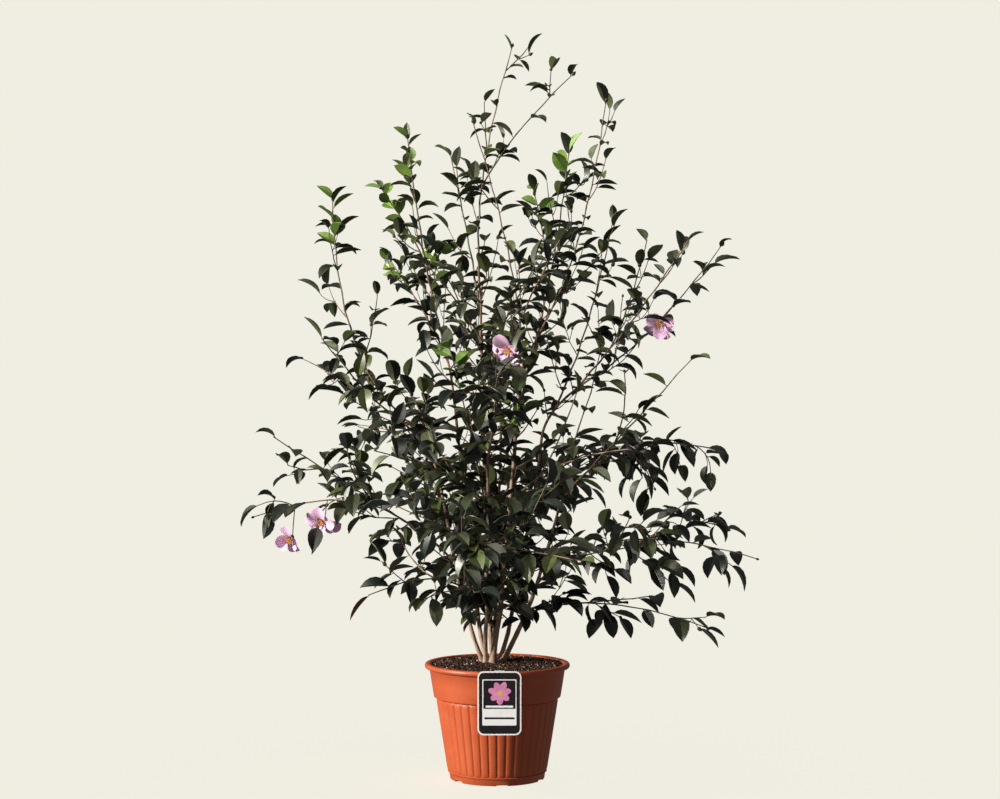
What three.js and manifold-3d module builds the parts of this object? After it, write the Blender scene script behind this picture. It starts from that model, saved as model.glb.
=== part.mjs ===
// A camellia shrub in a fluted pot, in millimetres, +Z up, facing -Y.
// The origin is on the ground, under the pot's centre.
import * as THREE from "three";
import { mergeVertices } from "three/addons/utils/BufferGeometryUtils.js";
import Module from "manifold-3d";

const wasm = await Module();
wasm.setup();

// Driving dimensions of the pot
const POT = {
  height: 190,
  rimRadius: 120,
  rimDepth: 8,
  bandTopRadius: 112,
  bandFootRadius: 105,
  bandFoot: 135,
  bandStep: 3.5,
  wallFootRadius: 82,
  wallFoot: 12,
  footRadius: 78,
  wall: 2.6,
  floor: 3.5,
};
const FLUTE = { count: 40, depth: 1.8, fade: 6, head: 133, rows: [4, 5] };
const NOTCH = { count: 6, width: 19, height: 2.6, depth: 5, firstHeading: -84 };

// Driving dimensions of the soil, the root crown and the plant label
const CLEARANCE = 0.3;
const SOIL = { edge: 182, middle: 185, segments: 30 };
const CROWN = { x: -8, y: 15, radius: 25, shoulder: 19, shoulderHeight: 5, topRadius: 10, height: 10 };
const CROWN_SIDES = 12;
const LABEL = { width: 70, height: 102, corner: 10, thickness: 0.9, x: 3.5, top: 192 };
const STRAP = { width: 16, drop: 6, shy: 3 };

// Driving dimensions of the wood and the foliage
const STEM = { ring: 16, foot: 4, elbowOut: 0.55, elbowUp: 0.34, base: 3.8, tip: 2.3 };
const BOUGH = { base: 2.1, tip: 1.7 };
const LIMB = { sides: 6, stepLength: 100 };
const SHOOT = { base: 1.7, tip: 1.1, stepLength: 105, sides: 3, ownWay: 0.6, bend: 0.38 };
const TWIG = {
  every: 140,
  first: 0.12,
  last: 0.92,
  jitter: 0.04,
  angle: 46,
  angleSpread: 12,
  turn: 137.5,
  reach: 0.4,
  shortest: 50,
  longest: 105,
  taper: 0.5,
  lift: 0.2,
  base: 0.95,
  tip: 0.75,
};
const LEAF = {
  lowLength: 72,
  highLength: 50,
  spread: 0.14,
  width: 0.48,
  thickness: 1.4,
  widest: 0.46,
  arch: 0.06,
  droop: 0.12,
  every: 105,
  first: 0.12,
  angle: 58,
  turn: 144,
  flatten: 0.55,
  lowHang: 0.75,
  highHang: 0.1,
  roll: 32,
  sunk: 0.2,
  tipSetback: 2,
  beyond: 0.8,
  attempts: 4,
  retryTurn: 72,
  tipAngle: 24,
  lowest: 197,
};
const BLOOM = { petals: 5, radius: 31, notch: 0.55, depth: 12 };
const CANOPY = { low: 250, high: 1150, around: 125 };
const FINEST = 0.01;
const FIRST_SEED = 102;
const SEED_STEP = 17;

// The main stems: where each stands round the root crown in degrees, and the place of its fork.
// Every place is of side (right), depth (back) and height, from the origin.
const STEMS = [
  { name: "stem_left", foot: 178, fork: [-95, -10, 492] },
  { name: "stem_left_back", foot: 133, fork: [-70, 60, 600] },
  { name: "stem_centre", foot: 0, ring: 0, fork: [-25, 35, 660] },
  { name: "stem_main", foot: -90, fork: [32, -12, 600], base: 5, tip: 2.8 },
  { name: "stem_right", foot: -2, fork: [100, -15, 440], base: 4.4 },
  { name: "stem_right_back", foot: 43, fork: [75, 65, 560] },
  { name: "stem_front", foot: -135, fork: [-15, -85, 500] },
  { name: "stem_back", foot: 88, fork: [5, 105, 520] },
];

// The boughs: each leaves its parent at a share of the parent's length, where 1 is its tip.
const BOUGHS = [
  { name: "bough_left_high", on: "stem_left", at: 1, tip: [-168, -30, 610] },
  { name: "bough_left_low", on: "stem_left", at: 0.62, tip: [-182, 10, 440] },
  { name: "bough_upper_left", on: "stem_left_back", at: 1, tip: [-100, 55, 760] },
  { name: "bough_top", on: "stem_centre", at: 1, tip: [-31, 15, 880] },
  { name: "bough_upper_right", on: "stem_main", at: 1, tip: [88, -15, 770] },
  { name: "bough_right_high", on: "stem_right_back", at: 1, tip: [165, 60, 665] },
  { name: "bough_right_mid", on: "stem_right", at: 1, tip: [165, -20, 520] },
  { name: "bough_right_low", on: "stem_right", at: 0.6, tip: [165, -52, 385] },
  { name: "bough_front_high", on: "stem_front", at: 1, tip: [20, -130, 700] },
  { name: "bough_front_low", on: "stem_front", at: 0.65, tip: [-19, -180, 400] },
  { name: "bough_back_high", on: "stem_back", at: 1, tip: [1, 190, 700] },
  { name: "bough_back_low", on: "stem_back", at: 0.6, tip: [-27, 215, 420] },
];

// The masses of foliage: each is a leading shoot to a tip, mostly with a fork to a second one,
// and their twigs and leaves.
const FORK_AT = 0.35;
const MASSES = [
  { name: "top", on: "bough_top", at: 1, tip: [30, 10, 1242], fork: [142, -50, 1178] },
  { name: "crossing", on: "bough_upper_right", at: 0.4, tip: [-45, -110, 1100] },
  { name: "top_left", on: "bough_top", at: 0.5, tip: [-85, 110, 1072] },
  { name: "upper_left", on: "bough_upper_left", at: 1, tip: [-150, -75, 1078], fork: [-210, 40, 1005] },
  { name: "left_tall", on: "bough_left_high", at: 1, tip: [-272, -110, 975] },
  { name: "left_inner", on: "bough_upper_left", at: 0.6, tip: [-199, 175, 890], fork: [-100, 215, 905] },
  { name: "upper_right", on: "bough_upper_right", at: 0.7, tip: [128, 120, 1076], fork: [56, 60, 1008] },
  { name: "top_right", on: "bough_upper_right", at: 1, tip: [185, -60, 1140] },
  { name: "right_inner", on: "bough_right_high", at: 0.45, tip: [212, 190, 970] },
  { name: "right_tall", on: "bough_right_high", at: 0.75, tip: [320, -150, 900], fork: [265, 110, 925] },
  { name: "right_reach", on: "bough_right_high", at: 1, tip: [400, 60, 908], blooms: [0.55] },
  { name: "right_mid", on: "bough_right_mid", at: 0.7, tip: [330, -140, 712], fork: [200, -210, 690] },
  { name: "left_mid", on: "bough_left_high", at: 0.65, tip: [-355, 90, 710], fork: [-300, -110, 745] },
  { name: "left_reach", on: "bough_left_low", at: 0.7, tip: [-385, -110, 583], fork: [-240, -200, 560] },
  { name: "left_low", on: "bough_left_low", at: 1, tip: [-446, 50, 425], lift: -0.1, blooms: [0.4, 0.65] },
  { name: "left_droop", on: "stem_left", at: 0.5, tip: [-235, -120, 310], lift: 0, fork: [-185, 120, 420] },
  { name: "front_skirt", on: "stem_front", at: 0.45, tip: [-140, -170, 310], fork: [-50, -220, 400] },
  {
    name: "right_shoulder",
    on: "bough_right_mid",
    at: 1,
    tip: [415, 110, 537],
    lift: 0,
    fork: [240, 190, 560],
  },
  { name: "right_low", on: "bough_right_low", at: 1, tip: [460, -60, 362], lift: 0, fork: [400, 110, 437] },
  { name: "right_low_front", on: "bough_right_low", at: 0.7, tip: [300, -130, 400], fork: [215, -220, 455] },
  { name: "right_skirt", on: "stem_right", at: 0.4, tip: [390, 60, 236], lift: 0.1, fork: [300, 170, 285] },
  { name: "front_low_left", on: "bough_front_low", at: 1, tip: [-90, -350, 440], fork: [-190, -270, 480] },
  { name: "front_low_right", on: "bough_front_low", at: 0.65, tip: [150, -325, 380], fork: [90, -260, 520] },
  { name: "front_mid", on: "bough_front_high", at: 0.5, tip: [0, -310, 690], fork: [-90, -240, 640] },
  { name: "front_left", on: "stem_front", at: 0.85, tip: [-210, -270, 560], fork: [-150, -150, 660] },
  { name: "front_right", on: "stem_main", at: 0.7, tip: [225, -270, 560], fork: [140, -150, 670] },
  { name: "front_high_right", on: "bough_front_high", at: 1, tip: [110, -225, 900], blooms: [0.12] },
  { name: "front_high_left", on: "bough_front_high", at: 0.75, tip: [-125, -230, 860] },
  { name: "back_low_left", on: "bough_back_low", at: 1, tip: [-110, 360, 430], fork: [-220, 280, 520] },
  { name: "back_low_right", on: "bough_back_low", at: 0.65, tip: [150, 355, 460], fork: [230, 260, 560] },
  { name: "back_mid", on: "bough_back_high", at: 0.85, tip: [10, 340, 780], fork: [110, 290, 720] },
  { name: "back_left", on: "stem_left_back", at: 0.8, tip: [-270, 260, 590], fork: [-170, 200, 690] },
  { name: "back_right", on: "stem_right_back", at: 0.8, tip: [262, 250, 565], fork: [190, 170, 740] },
  { name: "back_high_left", on: "bough_back_high", at: 0.5, tip: [-130, 230, 930] },
  { name: "back_high_right", on: "bough_back_high", at: 1, tip: [110, 255, 920] },
  { name: "core", on: "stem_centre", at: 0.6, tip: [-85, -30, 740], fork: [60, -60, 640] },
];

const UP = new THREE.Vector3(0, 0, 1);
const RIGHT = new THREE.Vector3(1, 0, 0);
const radians = THREE.MathUtils.degToRad;
const lerp = THREE.MathUtils.lerp;

const material = (color, roughness, metalness = 0) =>
  new THREE.MeshStandardMaterial({ color, roughness, metalness });
const MATERIALS = {
  pot: material(0xc8552b, 0.45),
  soil: material(0x2c211c, 0.95),
  bark: material(0x8f7260, 0.8),
  foliage: material(0x24351f, 0.4),
  label: material(0xf0f0f0, 0.35),
};

// A repeatable source of numbers from 0 to 1
function seeded(seed) {
  let state = seed >>> 0;
  return () => {
    state = (Math.imul(state, 1664525) + 1013904223) >>> 0;
    return state / 4294967296;
  };
}

const vector = (place) => new THREE.Vector3(...place);

// The unit vector square to a tangent, at a turn round it in degrees
function around(tangent, turn) {
  const reference = Math.abs(tangent.z) < 0.9 ? UP : RIGHT;
  const side = reference.clone().cross(tangent).normalize();
  return side.applyAxisAngle(tangent, radians(turn));
}

// A closed geometry as a solid that can be joined and cut
function solidOf(geometry) {
  const bare = geometry.clone();
  bare.deleteAttribute("normal");
  bare.deleteAttribute("uv");
  const merged = mergeVertices(bare, 1e-5);
  return new wasm.Manifold(
    new wasm.Mesh({
      numProp: 3,
      vertProperties: merged.attributes.position.array,
      triVerts: new Uint32Array(merged.index.array),
    }),
  );
}

// A solid as a geometry for a mesh
function geometryOf(solid) {
  const mesh = solid.getMesh();
  const geometry = new THREE.BufferGeometry();
  geometry.setAttribute("position", new THREE.BufferAttribute(mesh.vertProperties, 3));
  geometry.setIndex(new THREE.BufferAttribute(mesh.triVerts, 1));
  geometry.computeVertexNormals();
  return geometry;
}

function turned(profile, segments) {
  const points = profile.map(([radius, height]) => new THREE.Vector2(radius, height));
  return new THREE.LatheGeometry(points, segments).rotateX(Math.PI / 2);
}

// The pot's outer wall below its band, at a height
function outerRadius(z) {
  const top = POT.bandFootRadius - POT.bandStep;
  return lerp(POT.wallFootRadius, top, (z - POT.wallFoot) / (POT.bandFoot - POT.wallFoot));
}

// The pot's inner wall at a height, which the soil fills: straight up to the band, and flaring inside it
function innerRadius(z) {
  const shy = POT.wall + FLUTE.depth;
  const bandInside = outerRadius(POT.bandFoot) - shy;
  if (z < POT.bandFoot) {
    return outerRadius(z) - shy;
  }
  const rise = (z - POT.bandFoot) / (POT.height - POT.bandFoot);
  return lerp(bandInside, POT.bandTopRadius - POT.wall, rise);
}

// The pot: a fluted wall between a plain band and a plain foot, turned from one profile
function potSolid() {
  const fluteFoot = POT.wallFoot + FLUTE.fade;
  const fluteHead = FLUTE.head - FLUTE.fade;
  const profile = [
    [0, 0],
    [POT.footRadius, 0],
    [POT.footRadius + 1.5, POT.wallFoot - 2],
    [outerRadius(POT.wallFoot), POT.wallFoot],
    [outerRadius(fluteFoot), fluteFoot],
    [outerRadius(fluteHead), fluteHead],
    [outerRadius(FLUTE.head), FLUTE.head],
    [POT.bandFootRadius, POT.bandFoot],
    [POT.bandTopRadius, POT.height - POT.rimDepth - 2],
    [POT.rimRadius - 1, POT.height - POT.rimDepth],
    [POT.rimRadius, POT.height - POT.rimDepth / 2],
    [POT.rimRadius - 2, POT.height],
    [0, POT.height],
  ];
  const geometry = turned(profile, 2 * FLUTE.count);
  const place = geometry.attributes.position;
  for (let i = 0; i < place.count; i += 1) {
    const row = i % profile.length;
    const hollow = Math.floor(i / profile.length) % 2 === 1;
    if (hollow && FLUTE.rows.includes(row)) {
      const radius = Math.hypot(place.getX(i), place.getY(i));
      const share = (radius - FLUTE.depth) / radius;
      place.setXYZ(i, place.getX(i) * share, place.getY(i) * share, place.getZ(i));
    }
  }
  const cavity = [
    [0, POT.floor],
    [innerRadius(POT.floor), POT.floor],
    [innerRadius(POT.bandFoot), POT.bandFoot],
    [innerRadius(POT.height), POT.height],
    [innerRadius(POT.height), POT.height + 1],
    [0, POT.height + 1],
  ];
  let pot = solidOf(geometry).subtract(solidOf(turned(cavity, SOIL.segments)));
  for (let i = 0; i < NOTCH.count; i += 1) {
    const cutter = new THREE.BoxGeometry(NOTCH.depth * 2, NOTCH.width, NOTCH.height * 2);
    cutter.translate(POT.footRadius + 1.5, 0, 0);
    cutter.rotateZ(radians(NOTCH.firstHeading + (360 * i) / NOTCH.count));
    pot = pot.subtract(solidOf(cutter));
  }
  return pot;
}

// The soil, a clearance inside the pot's wall, and with a low crest
function soilSolid() {
  const inset = (z) => innerRadius(z) - CLEARANCE / Math.cos(Math.PI / SOIL.segments);
  const bottom = POT.floor + CLEARANCE;
  const profile = [
    [0, bottom],
    [inset(bottom), bottom],
    [inset(POT.bandFoot), POT.bandFoot],
    [inset(SOIL.edge), SOIL.edge],
    [CROWN.radius * 2.2, SOIL.middle],
    [0, SOIL.middle],
  ];
  return solidOf(turned(profile, SOIL.segments));
}

// The low root crown that the stems fork from, with a flat cut on the soil, grown all over for a clearance
function crownSolid(grow = 0) {
  const foot = SOIL.middle + CLEARANCE;
  const profile = [
    [0, foot - grow],
    [CROWN.radius + grow, foot - grow],
    [CROWN.shoulder + grow, foot + CROWN.shoulderHeight + grow],
    [CROWN.topRadius + grow, foot + CROWN.height + grow],
    [0, foot + CROWN.height + grow],
  ];
  return solidOf(turned(profile, CROWN_SIDES).translate(CROWN.x, CROWN.y, 0));
}

// The plant label: a card with rounded corners, with a strap that hooks over the rim
function labelSolid() {
  const { width, height, corner, thickness } = LABEL;
  const card = new THREE.Shape();
  const half = width / 2;
  card.moveTo(-half + corner, -height);
  card.lineTo(half - corner, -height);
  card.absarc(half - corner, -height + corner, corner, -Math.PI / 2, 0);
  card.lineTo(half, -corner);
  card.absarc(half - corner, -corner, corner, 0, Math.PI / 2);
  card.lineTo(-half + corner, 0);
  card.absarc(-half + corner, -corner, corner, Math.PI / 2, Math.PI);
  card.lineTo(-half, -height + corner);
  card.absarc(-half + corner, -height + corner, corner, Math.PI, 1.5 * Math.PI);
  const plate = new THREE.ExtrudeGeometry(card, { depth: thickness, bevelEnabled: false, curveSegments: 4 });
  const back = -(POT.rimRadius + CLEARANCE);
  plate.rotateX(Math.PI / 2).translate(LABEL.x, back, LABEL.top);

  const inner = -(innerRadius(POT.height - STRAP.drop) - STRAP.shy);
  const under = POT.height + CLEARANCE;
  const hook = new THREE.Shape();
  hook.moveTo(back - thickness / 2, under);
  hook.lineTo(inner - thickness, under);
  hook.lineTo(inner - thickness, POT.height - STRAP.drop);
  hook.lineTo(inner, POT.height - STRAP.drop);
  hook.lineTo(inner, under + thickness);
  hook.lineTo(back - thickness / 2, under + thickness);
  const strap = new THREE.ExtrudeGeometry(hook, { depth: STRAP.width, bevelEnabled: false });
  strap.rotateX(Math.PI / 2).rotateZ(Math.PI / 2);
  strap.translate(LABEL.x - STRAP.width / 2, 0, 0);
  return solidOf(plate).add(solidOf(strap));
}

// A curve from a start, by a control point, to a tip, walked in straight steps
class Path {
  constructor(start, control, tip, stepLength, fewest) {
    this.curve = new THREE.QuadraticBezierCurve3(start, control, tip);
    this.length = this.curve.getLength();
    this.steps = Math.max(fewest, Math.round(this.length / stepLength));
    this.knots = this.curve.getPoints(this.steps);
  }

  pointAt(share) {
    const step = Math.min(Math.floor(share * this.steps), this.steps - 1);
    return this.knots[step].clone().lerp(this.knots[step + 1], share * this.steps - step);
  }

  tangentAt(share) {
    return this.curve.getTangent(share);
  }
}

// A cylinder bent along a path and tapered from one radius to another
function bentGeometry(path, startRadius, endRadius, sides, grow = 0) {
  const geometry = new THREE.CylinderGeometry(1, 1, 1, sides, path.steps);
  const frames = path.curve.computeFrenetFrames(path.steps);
  const place = geometry.attributes.position;
  const vertex = new THREE.Vector3();
  for (let i = 0; i < place.count; i += 1) {
    const share = place.getY(i) + 0.5;
    const step = Math.round(share * path.steps);
    const radius = lerp(startRadius, endRadius, share) + grow;
    vertex.copy(path.knots[step]);
    vertex.addScaledVector(frames.binormals[step], place.getX(i) * radius);
    vertex.addScaledVector(frames.normals[step], place.getZ(i) * radius);
    place.setXYZ(i, vertex.x, vertex.y, vertex.z);
  }
  return geometry;
}

// What a new leaf or twig has to stay clear of: convex pieces, each with its node and stem
class Room {
  constructor() {
    this.pieces = [];
  }

  add(piece) {
    this.pieces.push(piece);
  }

  isFree(piece) {
    return this.pieces.every(
      (other) =>
        !piece.minds(other) ||
        piece.sphere.center.distanceTo(other.sphere.center) >
          piece.sphere.radius + other.sphere.radius + CLEARANCE ||
        apart(piece, other),
    );
  }
}

// A convex piece, as its corners and the directions in which it may be told apart from another
class Piece {
  constructor(owner, stem, isBlade, corners, faces) {
    this.owner = owner;
    this.stem = stem;
    this.isBlade = isBlade;
    this.corners = corners;
    this.sphere = new THREE.Sphere().setFromPoints(corners);
    this.normals = [];
    this.edges = [];
    for (const [a, b, c] of faces) {
      const first = corners[b].clone().sub(corners[a]);
      const second = corners[c].clone().sub(corners[a]);
      this.normals.push(first.clone().cross(second).normalize());
      this.edges.push(first.normalize(), second.normalize());
    }
  }

  // Everything keeps off other nodes, and a blade keeps off all in its own but the stem it stands on.
  minds(other) {
    return this.owner !== other.owner || (this.isBlade && (other.isBlade || other.stem !== this.stem));
  }
}

// Whether a plane lies between two convex pieces, with the clearance to spare
function apart(a, b) {
  const axes = [...a.normals, ...b.normals];
  for (const p of a.edges) {
    for (const q of b.edges) {
      const axis = p.clone().cross(q);
      if (axis.lengthSq() > 1e-6) {
        axes.push(axis.normalize());
      }
    }
  }
  return axes.some((axis) => {
    const [lowA, highA] = span(a.corners, axis);
    const [lowB, highB] = span(b.corners, axis);
    return lowB - highA > CLEARANCE || lowA - highB > CLEARANCE;
  });
}

function span(corners, axis) {
  let low = Infinity;
  let high = -Infinity;
  for (const corner of corners) {
    const along = corner.dot(axis);
    low = Math.min(low, along);
    high = Math.max(high, along);
  }
  return [low, high];
}

const BAR_FACES = [
  [0, 1, 3],
  [1, 2, 4],
  [2, 0, 5],
  [0, 1, 2],
];

// A limb or twig as a row of three-sided bars that hold it
function barsOf(owner, path, startRadius, endRadius) {
  const rings = path.knots.map((knot, step) => {
    const share = step / path.steps;
    const radius = 2 * lerp(startRadius, endRadius, share);
    const tangent = path.tangentAt(share);
    return [0, 120, 240].map((turn) => knot.clone().addScaledVector(around(tangent, turn), radius));
  });
  return rings
    .slice(1)
    .map((ring, step) => new Piece(owner, path, false, [...rings[step], ...ring], BAR_FACES));
}

// A leaf as an octahedron: its root, tip, two edges, and the crown and hollow of its blade
function leafGeometry(root, direction, normal, length, width, thickness) {
  const across = normal.clone().cross(direction).normalize();
  const frame = new THREE.Matrix4().makeBasis(direction, across, normal).setPosition(root);
  const geometry = new THREE.OctahedronGeometry(1);
  const place = geometry.attributes.position;
  for (let i = 0; i < place.count; i += 1) {
    const end = place.getX(i);
    const side = place.getY(i);
    const face = place.getZ(i);
    const middle = Math.abs(end) < 0.5;
    const along = middle ? LEAF.widest * length : ((end + 1) / 2) * length;
    const rise = middle ? LEAF.arch * length : end > 0 ? -LEAF.droop * length : 0;
    place.setXYZ(i, along, side * (width / 2), rise + face * (thickness / 2));
  }
  return geometry.applyMatrix4(frame);
}

function bladePiece(owner, stem, geometry) {
  const merged = mergeVertices(barePosition(geometry), 1e-5);
  const place = merged.attributes.position;
  const corners = [];
  for (let i = 0; i < place.count; i += 1) {
    corners.push(new THREE.Vector3().fromBufferAttribute(place, i));
  }
  const faces = [];
  for (let i = 0; i < merged.index.count; i += 3) {
    faces.push([0, 1, 2].map((k) => merged.index.getX(i + k)));
  }
  return new Piece(owner, stem, true, corners, faces);
}

function barePosition(geometry) {
  return new THREE.BufferGeometry().setAttribute("position", geometry.getAttribute("position"));
}

const limbs = new Map();
const group = new THREE.Group();

function addMesh(name, solid, finish) {
  const mesh = new THREE.Mesh(geometryOf(solid), finish);
  mesh.name = name;
  group.add(mesh);
}

// A path that grows out of another at a share of its length, and on in its line when that is its tip
function growth(parent, at, tip, stepLength, fewest) {
  const onward = parent.tangentAt(at);
  const start = parent.pointAt(at);
  if (at === 1) {
    start.addScaledVector(onward, CLEARANCE);
  }
  const aim = tip.clone().sub(start);
  const leaving = onward.clone();
  if (at < 1) {
    leaving.lerp(aim.clone().normalize(), SHOOT.ownWay).normalize();
  }
  const control = start.clone().addScaledVector(leaving, aim.length() * SHOOT.bend);
  return new Path(start, control, tip, stepLength, fewest);
}

function addLimb(name, path, startRadius, endRadius, cutter) {
  const build = (grow) => solidOf(bentGeometry(path, startRadius, endRadius, LIMB.sides, grow));
  limbs.set(name, { path, startRadius, endRadius, grown: build(CLEARANCE) });
  addMesh(name, cutter ? build(0).subtract(cutter) : build(0), MATERIALS.bark);
}

function stemPath(stem) {
  const turn = radians(stem.foot);
  const ring = (stem.ring ?? 1) * STEM.ring;
  const foot = new THREE.Vector3(
    CROWN.x + ring * Math.cos(turn),
    CROWN.y + ring * Math.sin(turn),
    SOIL.middle + STEM.foot,
  );
  const fork = vector(stem.fork);
  const control = new THREE.Vector3(
    lerp(foot.x, fork.x, STEM.elbowOut),
    lerp(foot.y, fork.y, STEM.elbowOut),
    lerp(foot.z, fork.z, STEM.elbowUp),
  );
  return new Path(foot, control, fork, LIMB.stepLength, 4);
}

// How far up the canopy a height is, from 0 to 1
function canopyShare(z) {
  return THREE.MathUtils.clamp((z - CANOPY.low) / (CANOPY.high - CANOPY.low), 0, 1);
}

function leafLength(z) {
  return lerp(LEAF.lowLength, LEAF.highLength, canopyShare(z));
}

// The leading shoots of a mass, each short of its tip by most of the last leaf
function shootsOf(mass) {
  const shortOf = (place, start) => {
    const tip = vector(place);
    return tip.addScaledVector(tip.clone().sub(start).normalize(), -LEAF.beyond * leafLength(tip.z));
  };
  const parent = limbs.get(mass.on).path;
  const tip = shortOf(mass.tip, parent.pointAt(mass.at));
  const leader = growth(parent, mass.at, tip, SHOOT.stepLength, 3);
  const shoots = [{ path: leader, base: SHOOT.base, tip: SHOOT.tip }];
  if (mass.fork) {
    const end = shortOf(mass.fork, leader.pointAt(FORK_AT));
    const path = growth(leader, FORK_AT, end, SHOOT.stepLength, 2);
    shoots.push({ path, base: lerp(SHOOT.base, SHOOT.tip, FORK_AT), tip: SHOOT.tip });
  }
  return shoots;
}

// The twigs of one shoot, each a short curve that turns up or down by the mass's lift
function twigsOf(shoot, mass, random) {
  const count = Math.round(shoot.path.length / TWIG.every);
  const phase = 360 * random();
  const twigs = [];
  for (let i = 0; i < count; i += 1) {
    const share = lerp(TWIG.first, TWIG.last, (i + 0.5) / count) + TWIG.jitter * (2 * random() - 1);
    const angle = radians(TWIG.angle + TWIG.angleSpread * (2 * random() - 1));
    const vigour = 0.8 + 0.4 * random();
    const full = THREE.MathUtils.clamp(shoot.path.length * TWIG.reach, TWIG.shortest, TWIG.longest);
    const length = full * vigour * (1 - TWIG.taper * share);
    const tangent = shoot.path.tangentAt(share);
    const leaving = tangent.clone().multiplyScalar(Math.cos(angle));
    leaving.addScaledVector(around(tangent, phase + TWIG.turn * i), Math.sin(angle));
    const start = shoot.path.pointAt(share);
    const onward = leaving.clone().addScaledVector(UP, mass.lift ?? TWIG.lift).normalize();
    const tip = start.clone().addScaledVector(onward, length);
    const control = start.clone().addScaledVector(leaving, length / 2);
    twigs.push({ path: new Path(start, control, tip, length, 1), base: TWIG.base, tip: TWIG.tip });
  }
  return twigs;
}

// The direction and upper face of a leaf on a stem, at a turn round it: low ones hang more
function leafPose(tangent, turn, spreadAngle, z, roll) {
  const outward = around(tangent, turn);
  outward.z *= LEAF.flatten;
  outward.normalize();
  const angle = radians(spreadAngle);
  const direction = tangent.clone().multiplyScalar(Math.cos(angle)).addScaledVector(outward, Math.sin(angle));
  const hang = lerp(LEAF.lowHang, LEAF.highHang, canopyShare(z)) * Math.sin(angle);
  direction.addScaledVector(UP, -hang).normalize();
  const facing = Math.abs(direction.z) < 0.9 ? UP : outward.clone().multiplyScalar(-Math.sign(direction.z));
  const normal = facing.clone().addScaledVector(direction, -facing.dot(direction)).normalize();
  normal.applyAxisAngle(direction, radians(roll));
  return { direction, normal };
}

// A mass while it grows: its shoots, its twigs, and the solids that are joined at the end
class Mass {
  constructor(sizes, seed) {
    this.sizes = sizes;
    this.name = `foliage_${sizes.name}`;
    this.random = seeded(seed);
    this.shoots = shootsOf(sizes);
    this.twigs = [];
    this.solids = this.shoots.map((shoot) => this.woodSolid(shoot));
  }

  woodSolid({ path, base, tip }) {
    return solidOf(bentGeometry(path, base, tip, SHOOT.sides));
  }

  bars({ path, base, tip }) {
    return barsOf(this.name, path, base, tip);
  }

  // Whether a piece keeps to the mass's own space, which lies round its shoots above the soil
  holds(piece) {
    const knots = this.shoots.flatMap((shoot) => shoot.path.knots);
    const near = (corner) => knots.some((knot) => knot.distanceTo(corner) < CANOPY.around);
    return piece.corners.every((corner) => corner.z > LEAF.lowest && near(corner));
  }

  growTwigs(room) {
    for (const twig of this.shoots.flatMap((shoot) => twigsOf(shoot, this.sizes, this.random))) {
      const bars = this.bars(twig);
      if (bars.every((bar) => this.holds(bar) && room.isFree(bar))) {
        bars.forEach((bar) => room.add(bar));
        this.twigs.push(twig);
        this.solids.push(this.woodSolid(twig));
      }
    }
  }

  // Leaves along one shoot or twig, and one at its tip. Each is turned on until it has room, or skipped.
  growLeavesOn({ path }, room) {
    const count = Math.max(1, Math.round((path.length * (1 - LEAF.first)) / LEAF.every));
    const phase = 360 * this.random();
    for (let i = 0; i <= count; i += 1) {
      const share = lerp(LEAF.first, 1 - LEAF.tipSetback / path.length, i / count);
      const start = path.pointAt(share);
      const length = leafLength(start.z) * (1 + LEAF.spread * (2 * this.random() - 1));
      const roll = LEAF.roll * (2 * this.random() - 1);
      const angle = i === count ? LEAF.tipAngle : LEAF.angle;
      let grown = false;
      for (let attempt = 0; attempt < LEAF.attempts && !grown; attempt += 1) {
        const turn = phase + LEAF.turn * i + LEAF.retryTurn * attempt;
        const { direction, normal } = leafPose(path.tangentAt(share), turn, angle, start.z, roll);
        const root = start.clone().addScaledVector(direction, -LEAF.sunk);
        const blade = leafGeometry(root, direction, normal, length, length * LEAF.width, LEAF.thickness);
        grown = this.addBlade(path, blade, room);
      }
    }
  }

  // A bloom close at the leader's side: a shallow star that is pointed in front and behind
  growBloom(share, room) {
    const path = this.shoots[0].path;
    const facing = new THREE.Vector3(Math.sign(path.tangentAt(share).x) * 0.3, -0.85, -0.2).normalize();
    const centre = path.pointAt(share).addScaledVector(facing, BLOOM.depth * 0.9);
    const star = turned([[0, -BLOOM.depth], [BLOOM.radius, 0], [0, BLOOM.depth * 0.3]], 2 * BLOOM.petals);
    const place = star.attributes.position;
    for (let i = 0; i < place.count; i += 1) {
      if (Math.floor(i / 3) % 2 === 1) {
        place.setXY(i, place.getX(i) * BLOOM.notch, place.getY(i) * BLOOM.notch);
      }
    }
    star.applyQuaternion(new THREE.Quaternion().setFromUnitVectors(UP, facing));
    star.translate(centre.x, centre.y, centre.z);
    this.addBlade(path, star, room);
  }

  // Adds a blade if it has room, and says whether it had
  addBlade(stem, geometry, room) {
    const piece = bladePiece(this.name, stem, geometry);
    const free = this.holds(piece) && room.isFree(piece);
    if (free) {
      room.add(piece);
      this.solids.push(solidOf(geometry));
    }
    return free;
  }

  // All of the mass joined, clear of the limb whose side it grows from, with loose scraps dropped
  joined() {
    const { on, at } = this.sizes;
    const whole = this.solids.reduce((sum, solid) => sum.add(solid));
    const clear = at === 1 ? whole : whole.subtract(limbs.get(on).grown);
    const bodies = clear.simplify(FINEST).decompose();
    return bodies.reduce((most, body) => (body.volume() > most.volume() ? body : most));
  }
}

addMesh("pot", potSolid(), MATERIALS.pot);
addMesh("potting_soil", soilSolid(), MATERIALS.soil);
addMesh("plant_label", labelSolid(), MATERIALS.label);
addMesh("root_crown", crownSolid(), MATERIALS.bark);

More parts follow.
